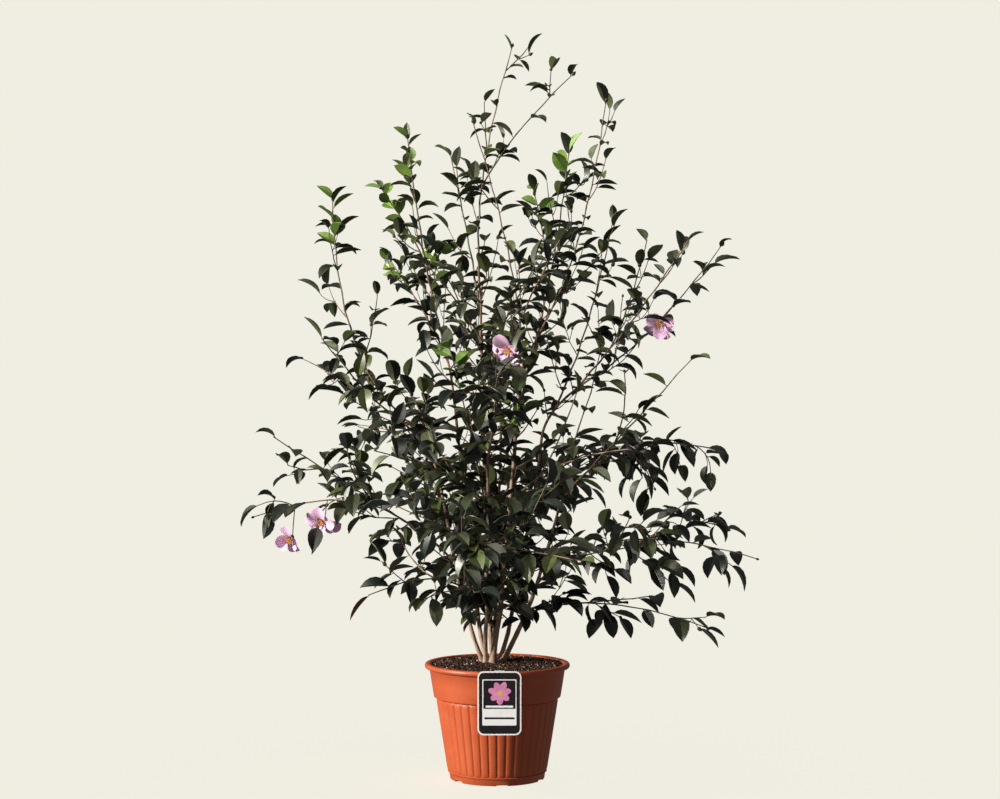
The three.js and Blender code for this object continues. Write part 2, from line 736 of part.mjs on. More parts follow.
const grownCrown = crownSolid(CLEARANCE);
for (const stem of STEMS) {
  addLimb(stem.name, stemPath(stem), stem.base ?? STEM.base, stem.tip ?? STEM.tip, grownCrown);
}
for (const { name, on, at, tip } of BOUGHS) {
  const parent = limbs.get(on);
  const path = growth(parent.path, at, vector(tip), LIMB.stepLength, 3);
  addLimb(name, path, at === 1 ? parent.endRadius : BOUGH.base, BOUGH.tip, at === 1 ? null : parent.grown);
}

const room = new Room();
for (const [name, limb] of limbs) {
  barsOf(name, limb.path, limb.startRadius, limb.endRadius).forEach((bar) => room.add(bar));
}
const masses = MASSES.map((sizes, index) => new Mass(sizes, FIRST_SEED + SEED_STEP * index));
for (const mass of masses) {
  mass.shoots.flatMap((shoot) => mass.bars(shoot)).forEach((bar) => room.add(bar));
}
for (const mass of masses) {
  (mass.sizes.blooms ?? []).forEach((share) => mass.growBloom(share, room));
}
for (const mass of masses) {
  mass.growTwigs(room);
}
for (const mass of masses) {
  [...mass.shoots, ...mass.twigs].forEach((stem) => mass.growLeavesOn(stem, room));
}
for (const mass of masses) {
  addMesh(mass.name, mass.joined(), MATERIALS.foliage);
}

export default group;
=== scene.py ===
"""The looks of a potted camellia shrub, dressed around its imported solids, in metres, +Z up, facing -Y."""

import logging
import math
from dataclasses import dataclass, replace
from enum import Enum
from functools import cached_property
from typing import Callable, Iterable, Optional, Sequence

import bmesh
import bpy
import numpy as np
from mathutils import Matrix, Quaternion, Vector


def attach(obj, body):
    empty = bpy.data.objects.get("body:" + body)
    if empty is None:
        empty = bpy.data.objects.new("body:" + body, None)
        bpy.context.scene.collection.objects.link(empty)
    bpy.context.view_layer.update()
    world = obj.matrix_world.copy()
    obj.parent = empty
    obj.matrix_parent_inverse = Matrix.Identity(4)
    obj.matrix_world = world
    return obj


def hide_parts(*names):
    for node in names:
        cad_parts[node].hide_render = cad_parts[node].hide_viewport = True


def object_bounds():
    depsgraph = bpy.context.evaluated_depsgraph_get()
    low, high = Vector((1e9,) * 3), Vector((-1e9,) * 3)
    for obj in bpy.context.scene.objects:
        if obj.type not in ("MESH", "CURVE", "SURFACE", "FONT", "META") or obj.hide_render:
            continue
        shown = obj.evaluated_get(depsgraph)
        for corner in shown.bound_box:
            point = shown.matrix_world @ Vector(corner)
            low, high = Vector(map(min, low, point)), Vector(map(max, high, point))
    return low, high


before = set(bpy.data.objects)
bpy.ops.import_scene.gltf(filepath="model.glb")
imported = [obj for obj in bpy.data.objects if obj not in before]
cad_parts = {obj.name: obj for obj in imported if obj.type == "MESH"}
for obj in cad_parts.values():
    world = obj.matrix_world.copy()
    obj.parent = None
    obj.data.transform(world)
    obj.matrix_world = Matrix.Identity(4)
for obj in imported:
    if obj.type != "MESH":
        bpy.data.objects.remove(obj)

CAD_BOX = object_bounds()
BODY = "root"
UP = Vector((0.0, 0.0, 1.0))
RIGHT = Vector((1.0, 0.0, 0.0))
NEARLY = 0.00001
GOLDEN_TURN = 137.5

LOG = logging.getLogger("camellia")

Piece = bpy.types.Object
Material = bpy.types.Material
Socket = bpy.types.NodeSocket
Place = tuple[float, float, float]
Outline = Sequence[tuple[float, float]]
Colour = tuple[float, float, float, float]


# Helpers


def lerp(start: float, end: float, share: float) -> float:
    """Returns the value at a share of the way from start to end."""
    return start + (end - start) * share


def clamp(value: float, low: float, high: float) -> float:
    """Returns the value, held between low and high."""
    return max(low, min(high, value))


def colour(red: float, green: float, blue: float) -> Colour:
    """Returns an opaque colour."""
    return (red, green, blue, 1.0)


def turned_about(vector: Vector, axis: Vector, degrees: float) -> Vector:
    """Returns a copy of a vector, turned about an axis.

    Args:
        vector: the vector.
        axis: the unit vector that it turns about.
        degrees: how far it turns.

    Returns:
        The turned copy.
    """
    turned = vector.copy()
    turned.rotate(Quaternion(axis, math.radians(degrees)))
    return turned


class Seeded:
    """A repeatable source of numbers, the same as the one in the part's source."""

    def __init__(self, seed: int) -> None:
        """Starts the row of numbers at a seed."""
        self.state = seed % 2**32

    def next(self) -> float:
        """Returns the next number from 0 to 1."""
        self.state = (self.state * 1664525 + 1013904223) % 2**32
        return self.state / 2**32

    def spread(self) -> float:
        """Returns the next number from -1 to 1."""
        return 2 * self.next() - 1

    def choose(self, shares: Sequence[tuple[Enum, float]]) -> Enum:
        """Picks one of several things by their shares.

        Args:
            shares: each thing with its share; the shares sum to 1.

        Returns:
            The thing picked.
        """
        left = self.next()
        for thing, share in shares:
            left -= share
            if left < 0:
                return thing
        return shares[-1][0]


@dataclass
class Line:
    """A row of places with a radius at each."""

    places: np.ndarray
    radii: np.ndarray


# The bench: operators on the piece in hand


class Bench:
    """Blender's operators, used on one piece at a time."""

    @staticmethod
    def clear() -> None:
        """Deselects every object."""
        bpy.ops.object.select_all(action="DESELECT")

    @staticmethod
    def take(piece: Piece) -> None:
        """Selects one piece alone and makes it the piece in hand.

        Args:
            piece: the piece.
        """
        Bench.clear()
        piece.select_set(True)
        bpy.context.view_layer.objects.active = piece

    @staticmethod
    def named(name: str, size: Place = (1.0, 1.0, 1.0)) -> Piece:
        """Names the piece in hand, and sets its place, turn and size into its mesh.

        Args:
            name: the name of the piece and of its mesh.
            size: its scale along X, Y and Z.

        Returns:
            The piece.
        """
        piece = bpy.context.object
        piece.name = name
        piece.data.name = name
        piece.scale = size
        bpy.ops.object.transform_apply(location=True, rotation=True, scale=True)
        return piece

    @staticmethod
    def edit(everything: bool = False) -> None:
        """Goes to edit mode, choosing by vertices.

        Args:
            everything: whether all is selected, or nothing.
        """
        bpy.ops.object.mode_set(mode="EDIT")
        bpy.ops.mesh.select_mode(type="VERT")
        bpy.ops.mesh.select_all(action="SELECT" if everything else "DESELECT")

    @staticmethod
    def leave() -> None:
        """Goes back to object mode."""
        bpy.ops.object.mode_set(mode="OBJECT")

    @staticmethod
    def pick_numbers(numbers: Iterable[int]) -> None:
        """Selects vertices by number, and nothing else.

        Args:
            numbers: the vertices' numbers.
        """
        bpy.ops.mesh.select_all(action="DESELECT")
        mesh = bmesh.from_edit_mesh(bpy.context.object.data)
        mesh.verts.ensure_lookup_table()
        for number in numbers:
            mesh.verts[number].select_set(True)
        mesh.select_flush(True)
        bmesh.update_edit_mesh(bpy.context.object.data)

    @staticmethod
    def pick(test: Callable[[Vector], bool]) -> int:
        """Selects the vertices whose place passes a test, and nothing else.

        Args:
            test: says of a place whether its vertex is wanted.

        Returns:
            How many vertices are selected.
        """
        mesh = bmesh.from_edit_mesh(bpy.context.object.data)
        numbers = [number for number, vertex in enumerate(mesh.verts) if test(vertex.co)]
        Bench.pick_numbers(numbers)
        return len(numbers)

    @staticmethod
    def move(x: float = 0.0, y: float = 0.0, z: float = 0.0) -> None:
        """Moves what is selected."""
        bpy.ops.transform.translate(value=(x, y, z))

    @staticmethod
    def scale(x: float, y: float, z: float, centre: Place = (0.0, 0.0, 0.0)) -> None:
        """Resizes what is selected, about a centre."""
        bpy.ops.transform.resize(value=(x, y, z), center_override=centre)

    @staticmethod
    def turn(degrees: float, centre: Place = (0.0, 0.0, 0.0)) -> None:
        """Turns what is selected by the right-hand rule about Y; the operator itself turns the other way."""
        bpy.ops.transform.rotate(value=-math.radians(degrees), orient_axis="Y", center_override=centre)

    @staticmethod
    def outward() -> None:
        """Turns all faces outwards."""
        bpy.ops.mesh.select_all(action="SELECT")
        bpy.ops.mesh.normals_make_consistent(inside=False)

    @staticmethod
    def modify(piece: Piece, kind: str, **settings: object) -> None:
        """Adds a modifier to a piece and applies it.

        Args:
            piece: the piece.
            kind: the modifier's type.
            settings: its properties.
        """
        Bench.take(piece)
        modifier = piece.modifiers.new(kind.lower(), kind)
        for key, value in settings.items():
            setattr(modifier, key, value)
        bpy.ops.object.modifier_apply(modifier=modifier.name)

    @staticmethod
    def join(name: str, pieces: Sequence[Piece]) -> Piece:
        """Joins several pieces into the first.

        Args:
            name: the name of the whole.
            pieces: the pieces.

        Returns:
            The whole.
        """
        Bench.take(pieces[0])
        for piece in pieces:
            piece.select_set(True)
        bpy.ops.object.join()
        return Bench.named(name)

    @staticmethod
    def turned(name: str, outline: Outline, sides: int, centre: Place = (0.0, 0.0, 0.0)) -> Piece:
        """Builds a closed round body by extruding a disc's rim ring by ring along an outline.

        Args:
            name: the piece's name.
            outline: the radius and height of each ring; the first and last are closed by a face.
            sides: how many sides each ring has.
            centre: where the axis stands.

        Returns:
            The piece.
        """
        Bench.clear()
        radius, height = outline[0]
        bpy.ops.mesh.primitive_circle_add(vertices=sides, radius=radius, fill_type="NGON",
                                          location=(0, 0, height))
        piece = Bench.named(name)
        Bench.edit(everything=True)
        bpy.ops.mesh.region_to_loop()
        for next_radius, next_height in outline[1:]:
            rise = {"value": (0.0, 0.0, next_height - height)}
            bpy.ops.mesh.extrude_edges_move(TRANSFORM_OT_translate=rise)
            share = next_radius / radius
            Bench.scale(share, share, 1.0)
            radius, height = next_radius, next_height
        bpy.ops.mesh.edge_face_add()
        Bench.outward()
        Bench.move(*centre)
        Bench.leave()
        return piece

    @staticmethod
    def bent(name: str, lines: Sequence[Line], depth: int) -> Piece:
        """Builds round rods along lines as one mesh, each with its own radii and closed ends.

        Args:
            name: the piece's name.
            lines: the places and radii of each rod.
            depth: the bevel's resolution; a rod has 4 sides and 2 more for each.

        Returns:
            The piece.
        """
        Bench.clear()
        bpy.ops.curve.primitive_nurbs_path_add(location=(0, 0, 0))
        rod = bpy.context.object
        rod.data.splines.clear()
        rod.data.dimensions = "3D"
        rod.data.bevel_depth = 0.001
        for line in lines:
            spline = rod.data.splines.new("POLY")
            spline.points.add(len(line.places) - 1)
            spline.points.foreach_set("co", np.c_[line.places, np.ones(len(line.places))].ravel())
            spline.points.foreach_set("radius", np.asarray(line.radii) / rod.data.bevel_depth)
        rod.data.bevel_resolution = depth
        rod.data.use_fill_caps = True
        bpy.ops.object.convert(target="MESH")
        return Bench.named(name)


# Finishes


class Sheet:
    """A node tree under construction."""

    def __init__(self, tree: bpy.types.NodeTree) -> None:
        """Takes the tree and empties it."""
        self.tree = tree
        tree.nodes.clear()

    def node(self, kind: str, inputs: Optional[dict] = None, **settings: object) -> bpy.types.Node:
        """Adds a node.

        Args:
            kind: the node's type, without its leading word.
            inputs: sockets to link from, or plain values, by input name or number.
            settings: the node's own properties.

        Returns:
            The node.
        """
        node = self.tree.nodes.new(f"ShaderNode{kind}")
        for key, value in settings.items():
            setattr(node, key, value)
        for key, value in (inputs or {}).items():
            if isinstance(value, Socket):
                self.tree.links.new(value, node.inputs[key])
            else:
                node.inputs[key].default_value = value
        return node

    def math(self, operation: str, a: object, b: object = 0.0) -> Socket:
        """Adds a Math node and returns its result."""
        return self.node("Math", {0: a, 1: b}, operation=operation).outputs[0]

    def mix(self, share: object, a: object, b: object) -> Socket:
        """Mixes two colours and returns the result."""
        return self.node("Mix", {0: share, 6: a, 7: b}, data_type="RGBA").outputs[2]

    def blend(self, share: object, a: object, b: object) -> Socket:
        """Mixes two values and returns the result."""
        return self.node("Mix", {0: share, 2: a, 3: b}, data_type="FLOAT").outputs[0]

    def ramp(self, value: object, low: float, high: float) -> Socket:
        """Maps a value from low..high to 0..1, smoothly and held at the ends."""
        inputs = {"Value": value, "From Min": low, "From Max": high}
        return self.node("MapRange", inputs, interpolation_type="SMOOTHSTEP").outputs[0]

    def noise(self, vector: object, scale: object, detail: float = 3.0) -> Socket:
        """Adds a noise and returns its value."""
        return self.node("TexNoise", {"Vector": vector, "Scale": scale, "Detail": detail}).outputs[0]

    def effect(self, name: str, inputs: dict[str, object]) -> bpy.types.Node:
        """Places one of the shared effects, with its own values."""
        return self.node("Group", inputs, node_tree=Effect.made[name])


class Effect(Sheet):
    """A node group that several finishes share, built once, with named sockets."""

    made: dict[str, bpy.types.NodeTree] = {}

    def __init__(self, name: str, inputs: dict[str, object], outputs: dict[str, str]) -> None:
        """Starts the group.

        Args:
            name: the group's name.
            inputs: each input's default value; None for a vector.
            outputs: the kind of socket of each output.
        """
        tree = bpy.data.node_groups.new(name, "ShaderNodeTree")
        for key, value in inputs.items():
            kind = "Vector" if value is None else "Color" if isinstance(value, tuple) else "Float"
            socket = tree.interface.new_socket(key, in_out="INPUT", socket_type=f"NodeSocket{kind}")
            if value is not None:
                socket.default_value = value
        for key, kind in outputs.items():
            tree.interface.new_socket(key, in_out="OUTPUT", socket_type=f"NodeSocket{kind}")
        super().__init__(tree)
        self.given = tree.nodes.new("NodeGroupInput").outputs
        self.results = tree.nodes.new("NodeGroupOutput").inputs
        Effect.made[name] = tree

    def put(self, key: str, value: Socket) -> None:
        """Links a result to an output."""
        self.tree.links.new(value, self.results[key])

    @staticmethod
    def build_all() -> None:
        """Builds the effects."""
        Effect.build_patches()
        Effect.build_grain()
        Effect.build_veins()

    @staticmethod
    def build_patches() -> None:
        """Builds the soft change from one colour to another, in patches of two sizes."""
        finer, low, high = 7.0, 0.3, 0.7
        inputs = {"Vector": None, "Light": colour(0.5, 0.5, 0.5), "Dark": colour(0.3, 0.3, 0.3),
                  "Scale": 40.0, "Fine Share": 0.3}
        sheet = Effect("patchy_colour", inputs, {"Color": "Color", "Mask": "Float"})
        given = sheet.given
        broad = sheet.ramp(sheet.noise(given["Vector"], given["Scale"]), low, high)
        fine_scale = sheet.math("MULTIPLY", given["Scale"], finer)
        small = sheet.ramp(sheet.noise(given["Vector"], fine_scale), low, high)
        both = sheet.blend(given["Fine Share"], broad, small)
        sheet.put("Color", sheet.mix(both, given["Dark"], given["Light"]))
        sheet.put("Mask", both)

    @staticmethod
    def build_grain() -> None:
        """Builds a fine grain as a height, with pits between."""
        sheet = Effect("fine_grain", {"Vector": None, "Scale": 900.0, "Pits": 0.4}, {"Height": "Float"})
        given = sheet.given
        grain = sheet.noise(given["Vector"], given["Scale"], detail=4.0)
        cells = sheet.node("TexVoronoi", {"Vector": given["Vector"], "Scale": given["Scale"]}).outputs[0]
        sheet.put("Height", sheet.blend(given["Pits"], grain, cells))

    @staticmethod
    def build_veins() -> None:
        """Builds a blade's midrib and side veins from its own map: along it in U and across it in V."""
        slope, thin, wide, faint = 0.45, 0.02, 0.1, 0.35
        sheet = Effect("blade_veins", {"UV": None, "Pairs": 7.0, "Width": 0.05}, {"Mask": "Float"})
        given = sheet.given
        parts = sheet.node("SeparateXYZ", {0: given["UV"]})
        across = sheet.math("ABSOLUTE", sheet.math("SUBTRACT", parts.outputs[1], 0.5))
        beside = sheet.node("MapRange", {0: across, 1: 0.0, 2: given["Width"]}).outputs[0]
        slant = sheet.math("SUBTRACT", parts.outputs[0], sheet.math("MULTIPLY", across, slope))
        wave = sheet.math("FRACT", sheet.math("MULTIPLY", slant, given["Pairs"]))
        near = sheet.math("ABSOLUTE", sheet.math("SUBTRACT", wave, 0.5))
        vein = sheet.math("SUBTRACT", 1.0, sheet.ramp(near, thin, wide))
        rib = sheet.math("SUBTRACT", 1.0, beside)
        sheet.put("Mask", sheet.math("MAXIMUM", rib, sheet.math("MULTIPLY", vein, faint)))


@dataclass(frozen=True)
class Finish:
    """A material of patchy colour, with grain as relief and a wandering gloss."""

    name: str
    light: Colour
    dark: Colour
    patch: float
    roughness: float
    fine: float = 0.3
    rough_spread: float = 0.08
    grain: float = 900.0
    pits: float = 0.4
    relief: float = 0.0002
    stretch: Place = (1.0, 1.0, 1.0)
    specular: float = 0.5
    coat: float = 0.0
    coat_roughness: float = 0.15
    through: float = 0.0
    through_reach: Place = (0.003, 0.002, 0.003)

    def material(self) -> Material:
        """Builds the material.

        Returns:
            The material, with its shader in its own tree.
        """
        material = bpy.data.materials.new(self.name)
        material.use_nodes = True
        sheet = Sheet(material.node_tree)
        places = sheet.node("TexCoord").outputs["Object"]
        vector = sheet.node("Mapping", {"Vector": places, "Scale": self.stretch}).outputs[0]
        patches = sheet.effect("patchy_colour", {
            "Vector": vector, "Light": self.light, "Dark": self.dark, "Scale": self.patch,
            "Fine Share": self.fine})
        grain = sheet.effect("fine_grain", {"Vector": vector, "Scale": self.grain, "Pits": self.pits})
        tint, height = self.marked(sheet, patches.outputs["Color"], grain.outputs["Height"])
        bump = sheet.node("Bump", {"Height": height, "Distance": self.relief})
        rough = sheet.node("MapRange", {
            "Value": patches.outputs["Mask"], "To Min": self.roughness - self.rough_spread,
            "To Max": self.roughness + self.rough_spread})
        shader = sheet.node("BsdfPrincipled", {
            "Base Color": tint, "Roughness": rough.outputs[0], "Normal": bump.outputs[0],
            "Specular IOR Level": self.specular, "Coat Weight": self.coat,
            "Coat Roughness": self.coat_roughness, "Subsurface Weight": self.through})
        if self.through:
            shader.inputs["Subsurface Radius"].default_value = self.through_reach
            shader.inputs["Subsurface Scale"].default_value = 1.0
        sheet.node("OutputMaterial", {"Surface": shader.outputs[0]})
        return material

    def marked(self, sheet: Sheet, tint: Socket, height: Socket) -> tuple:
        """Leaves the colour and height as they are; finishes with veins add them here."""
        return tint, height


@dataclass(frozen=True)
class BladeFinish(Finish):
    """A finish for a leaf or petal, with a midrib and side veins in another colour."""

    rib: Colour = (0.1, 0.2, 0.05, 1.0)
    rib_share: float = 0.5
    pairs: float = 7.0
    rib_width: float = 0.05

    def marked(self, sheet: Sheet, tint: Socket, height: Socket) -> tuple:
        """Adds the veins to the colour and sinks them into the blade.

        Args:
            sheet: the material's sheet.
            tint: the colour so far.
            height: the height so far.

        Returns:
            The new colour and height.
        """
        own_map = sheet.node("UVMap", uv_map="UVMap").outputs[0]
        veins = sheet.effect("blade_veins", {"UV": own_map, "Pairs": self.pairs, "Width": self.rib_width})
        mask = veins.outputs["Mask"]
        shown = sheet.mix(sheet.math("MULTIPLY", mask, self.rib_share), tint, self.rib)
        return shown, sheet.math("SUBTRACT", height, mask)


# The plan of the shrub: the source's stems, boughs and masses


@dataclass(frozen=True)
class StemSize:
    """A main stem: where it stands round the root crown in degrees, its fork's place, and its leafiness."""

    name: str
    foot: float
    fork: Place
    ring: float = 0.016
    base: float = 0.0038
    tip: float = 0.0023
    leafy: float = 1.0


@dataclass(frozen=True)
class BoughSize:
    """A bough: the limb it leaves, at which share of its length, the place of its tip, and its leafiness."""

    name: str
    on: str
    at: float
    tip: Place
    leafy: float = 1.0


@dataclass(frozen=True)
class MassSize:
    """A mass of foliage: its parent, its shoots' tips, its twigs' lift, its blooms, and how leafy it is."""

    name: str
    on: str
    at: float
    tip: Place
    fork: Optional[Place] = None
    lift: float = 0.2
    full: float = 1.0
    blooms: tuple[float, ...] = ()
    young: bool = False


STEMS = (
    StemSize("stem_left", 178, (-0.095, -0.01, 0.492)),
    StemSize("stem_left_back", 133, (-0.07, 0.06, 0.6)),
    StemSize("stem_centre", 0, (-0.025, 0.035, 0.66), ring=0, leafy=1.5),
    StemSize("stem_main", -90, (0.032, -0.012, 0.6), base=0.005, tip=0.0028, leafy=2.2),
    StemSize("stem_right", -2, (0.1, -0.015, 0.44), base=0.0044, leafy=1.1),
    StemSize("stem_right_back", 43, (0.075, 0.065, 0.56), leafy=1.3),
    StemSize("stem_front", -135, (-0.015, -0.085, 0.5), leafy=1.4),
    StemSize("stem_back", 88, (0.005, 0.105, 0.52), leafy=1.3),
)

BOUGHS = (
    BoughSize("bough_left_high", "stem_left", 1, (-0.168, -0.03, 0.61), leafy=1.3),
    BoughSize("bough_left_low", "stem_left", 0.62, (-0.182, 0.01, 0.44)),
    BoughSize("bough_upper_left", "stem_left_back", 1, (-0.1, 0.055, 0.76), leafy=1.2),
    BoughSize("bough_top", "stem_centre", 1, (-0.031, 0.015, 0.88)),
    BoughSize("bough_upper_right", "stem_main", 1, (0.088, -0.015, 0.77), leafy=3.0),
    BoughSize("bough_right_high", "stem_right_back", 1, (0.165, 0.06, 0.665), leafy=1.5),
    BoughSize("bough_right_mid", "stem_right", 1, (0.165, -0.02, 0.52), leafy=0.4),
    BoughSize("bough_right_low", "stem_right", 0.6, (0.165, -0.052, 0.385)),
    BoughSize("bough_front_high", "stem_front", 1, (0.02, -0.13, 0.7), leafy=2.0),
    BoughSize("bough_front_low", "stem_front", 0.65, (-0.019, -0.18, 0.4)),
    BoughSize("bough_back_high", "stem_back", 1, (0.001, 0.19, 0.7)),
    BoughSize("bough_back_low", "stem_back", 0.6, (-0.027, 0.215, 0.42)),
)

MASSES = (
    MassSize("top", "bough_top", 1, (0.03, 0.01, 1.242), fork=(0.142, -0.05, 1.178), full=0.5),
    MassSize("crossing", "bough_upper_right", 0.4, (-0.045, -0.11, 1.1), full=0.4),
    MassSize("top_left", "bough_top", 0.5, (-0.085, 0.11, 1.072), lift=0.5, full=0.8),
    MassSize("upper_left", "bough_upper_left", 1, (-0.15, -0.075, 1.078), fork=(-0.21, 0.04, 1.005),
             lift=0.5, full=0.65, young=True),
    MassSize("left_tall", "bough_left_high", 1, (-0.272, -0.11, 0.975), lift=0.5, full=0.85, young=True),
    MassSize("left_inner", "bough_upper_left", 0.6, (-0.199, 0.175, 0.89), fork=(-0.1, 0.215, 0.905),
             lift=0.5, full=0.85, young=True),
    MassSize("upper_right", "bough_upper_right", 0.7, (0.128, 0.12, 1.076), fork=(0.056, 0.06, 1.008),
             lift=0.5, full=0.9, young=True),
    MassSize("top_right", "bough_upper_right", 1, (0.185, -0.06, 1.14), lift=0.5),
    MassSize("right_inner", "bough_right_high", 0.45, (0.212, 0.19, 0.97), lift=0.5, full=0.6),
    MassSize("right_tall", "bough_right_high", 0.75, (0.32, -0.15, 0.9), fork=(0.265, 0.11, 0.925),
             lift=0.5, full=0.75),
    MassSize("right_reach", "bough_right_high", 1, (0.4, 0.06, 0.908), full=0.6, blooms=(0.55,)),
    MassSize("right_mid", "bough_right_mid", 0.7, (0.33, -0.14, 0.712), fork=(0.2, -0.21, 0.69), full=0.2),
    MassSize("left_mid", "bough_left_high", 0.65, (-0.355, 0.09, 0.71), fork=(-0.3, -0.11, 0.745),
             full=0.65),
    MassSize("left_reach", "bough_left_low", 0.7, (-0.385, -0.11, 0.583), fork=(-0.24, -0.2, 0.56),
             full=0.8),
    MassSize("left_low", "bough_left_low", 1, (-0.446, 0.05, 0.425),
             lift=-0.5, full=0.8, blooms=(0.52, 0.74)),
    MassSize("left_droop", "stem_left", 0.5, (-0.235, -0.12, 0.31), fork=(-0.185, 0.12, 0.42),
             lift=0.1, full=0.45),
    MassSize("front_skirt", "stem_front", 0.45, (-0.14, -0.17, 0.31), fork=(-0.05, -0.22, 0.4), full=0.4),
    MassSize("right_shoulder", "bough_right_mid", 1, (0.415, 0.11, 0.537), fork=(0.24, 0.19, 0.56),
             lift=-1.2, full=0.85),
    MassSize("right_low", "bough_right_low", 1, (0.46, -0.06, 0.362), fork=(0.4, 0.11, 0.437),
             lift=-0.1, full=0.65),
    MassSize("right_low_front", "bough_right_low", 0.7, (0.3, -0.13, 0.4), fork=(0.215, -0.22, 0.455),
             full=0.6),
    MassSize("right_skirt", "stem_right", 0.4, (0.39, 0.06, 0.236), fork=(0.3, 0.17, 0.285),
             lift=0.1, full=0.15),
    MassSize("front_low_left", "bough_front_low", 1, (-0.09, -0.35, 0.44), fork=(-0.19, -0.27, 0.48),
             full=0.85),
    MassSize("front_low_right", "bough_front_low", 0.65, (0.15, -0.325, 0.38), fork=(0.09, -0.26, 0.52)),
    MassSize("front_mid", "bough_front_high", 0.5, (0, -0.31, 0.69), fork=(-0.09, -0.24, 0.64), lift=0.5),
    MassSize("front_left", "stem_front", 0.85, (-0.21, -0.27, 0.56), fork=(-0.15, -0.15, 0.66)),
    MassSize("front_right", "stem_main", 0.7, (0.225, -0.27, 0.56), fork=(0.14, -0.15, 0.67),
             lift=-0.3, full=0.25),
    MassSize("front_high_right", "bough_front_high", 1, (0.11, -0.225, 0.9),
             lift=0.5, full=1.3, blooms=(0.12,)),
    MassSize("front_high_left", "bough_front_high", 0.75, (-0.125, -0.23, 0.86), lift=0.5),
    MassSize("back_low_left", "bough_back_low", 1, (-0.11, 0.36, 0.43), fork=(-0.22, 0.28, 0.52)),
    MassSize("back_low_right", "bough_back_low", 0.65, (0.15, 0.355, 0.46), fork=(0.23, 0.26, 0.56)),
    MassSize("back_mid", "bough_back_high", 0.85, (0.01, 0.34, 0.78), fork=(0.11, 0.29, 0.72), lift=0.5),
    MassSize("back_left", "stem_left_back", 0.8, (-0.27, 0.26, 0.59), fork=(-0.17, 0.2, 0.69)),
    MassSize("back_right", "stem_right_back", 0.8, (0.262, 0.25, 0.565), fork=(0.19, 0.17, 0.74),
             lift=-0.3, full=0.25),
    MassSize("back_high_left", "bough_back_high", 0.5, (-0.13, 0.23, 0.93), lift=0.5),
    MassSize("back_high_right", "bough_back_high", 1, (0.11, 0.255, 0.92), lift=0.5),
    MassSize("core", "stem_centre", 0.6, (-0.085, -0.03, 0.74), fork=(0.06, -0.06, 0.64),
             lift=0.5, young=True),
)

# The rules of growth


FIRST_SEED = 102
SEED_STEP = 17


@dataclass(frozen=True)
class CrownSize:
    """The low root crown that the stems fork from, and where a stem's elbow lies on its way to its fork."""

    x: float = -0.008
    y: float = 0.015
    soil: float = 0.185
    radius: float = 0.025
    height: float = 0.010
    stem_foot: float = 0.004
    elbow_out: float = 0.55
    elbow_up: float = 0.34


@dataclass(frozen=True)
class Habit:
    """How a stick grows: its radii at foot and tip, the space between its nodes, and how they sway."""

    base: float
    tip: float
    every: float
    sway: float
    turn_spread: float = 40


@dataclass(frozen=True)
class ShootRule:
    """How a shoot leaves what it grows on, and how far up its parent a mass's second shoot stands."""

    fork_at: float = 0.35
    bend: float = 0.38
    towards_aim: float = 0.6
    fewest_leaves: float = 0.35
    space_steps: int = 6


@dataclass(frozen=True)
class TwigRule:
    """How side twigs leave a limb: their spacing, angle, length and taper."""

    every: float
    high_every: float
    first: float
    last: float
    angle: float
    spread: float
    reach: float
    shortest: float
    longest: float
    base: float
    tip: float
    start_spread: float = 0.5
    uneven: float = 0.3
    least_vigour: float = 0.75
    more_vigour: float = 0.5
    taper: float = 0.5
    sway: float = 0.0008


@dataclass(frozen=True)
class LeafRule:
    """The leaves' sizes and how they sit on a twig, low and high in the canopy."""

    low_length: float = 0.044
    high_length: float = 0.038
    low_width: float = 0.49
    high_width: float = 0.41
    width_spread: float = 0.05
    spread: float = 0.28
    low_every: float = 0.021
    high_every: float = 0.030
    bare: float = 0.12
    last_at: float = 0.985
    angle: float = 60
    high_angle: float = 74
    tip_angle: float = 24
    high_tip_angle: float = 36
    turn: float = 144
    flatten: float = 0.55
    low_hang: float = 0.75
    high_hang: float = 0.02
    low_roll: float = 34
    high_roll: float = 11
    beyond: float = 0.8
    lowest: float = 0.197
    around: float = 0.125
    canopy_low: float = 0.25
    canopy_high: float = 1.15


@dataclass(frozen=True)
class YoungRule:
    """The spray of broad young leaves at the end of some shoots."""

    count: int = 6
    reach: float = 0.07
    length: float = 0.036
    spread: float = 0.25
    width: float = 0.56
    angle: float = 46
    roll: float = 65


@dataclass(frozen=True)
class BudRule:
    """How many twigs end in a bud, and the buds' sizes."""

    share: float = 0.34
    at: float = 0.995
    least: float = 0.8
    more: float = 0.5


@dataclass(frozen=True)
class InnerRule:
    """Where the core's twigs may start, how they turn up, and how closely their leaves keep to them."""

    lowest: float = 0.25
    lift: float = 0.25
    space_steps: int = 3


@dataclass(frozen=True)
class BloomRule:
    """How the blooms hang on their stalks, in the masses' order, and the room round them that leaves keep."""

    drops: tuple[float, ...] = (0.006, 0.030, 0.052, 0.010)
    ahead: tuple[float, ...] = (0.045, 0.0, 0.0, 0.012)
    out: float = 0.012
    room: float = 0.036

    @property
    def way(self) -> Vector:
        """Returns the way that a bloom leans."""
        return Vector((-0.45, -0.85, -0.2)).normalized()


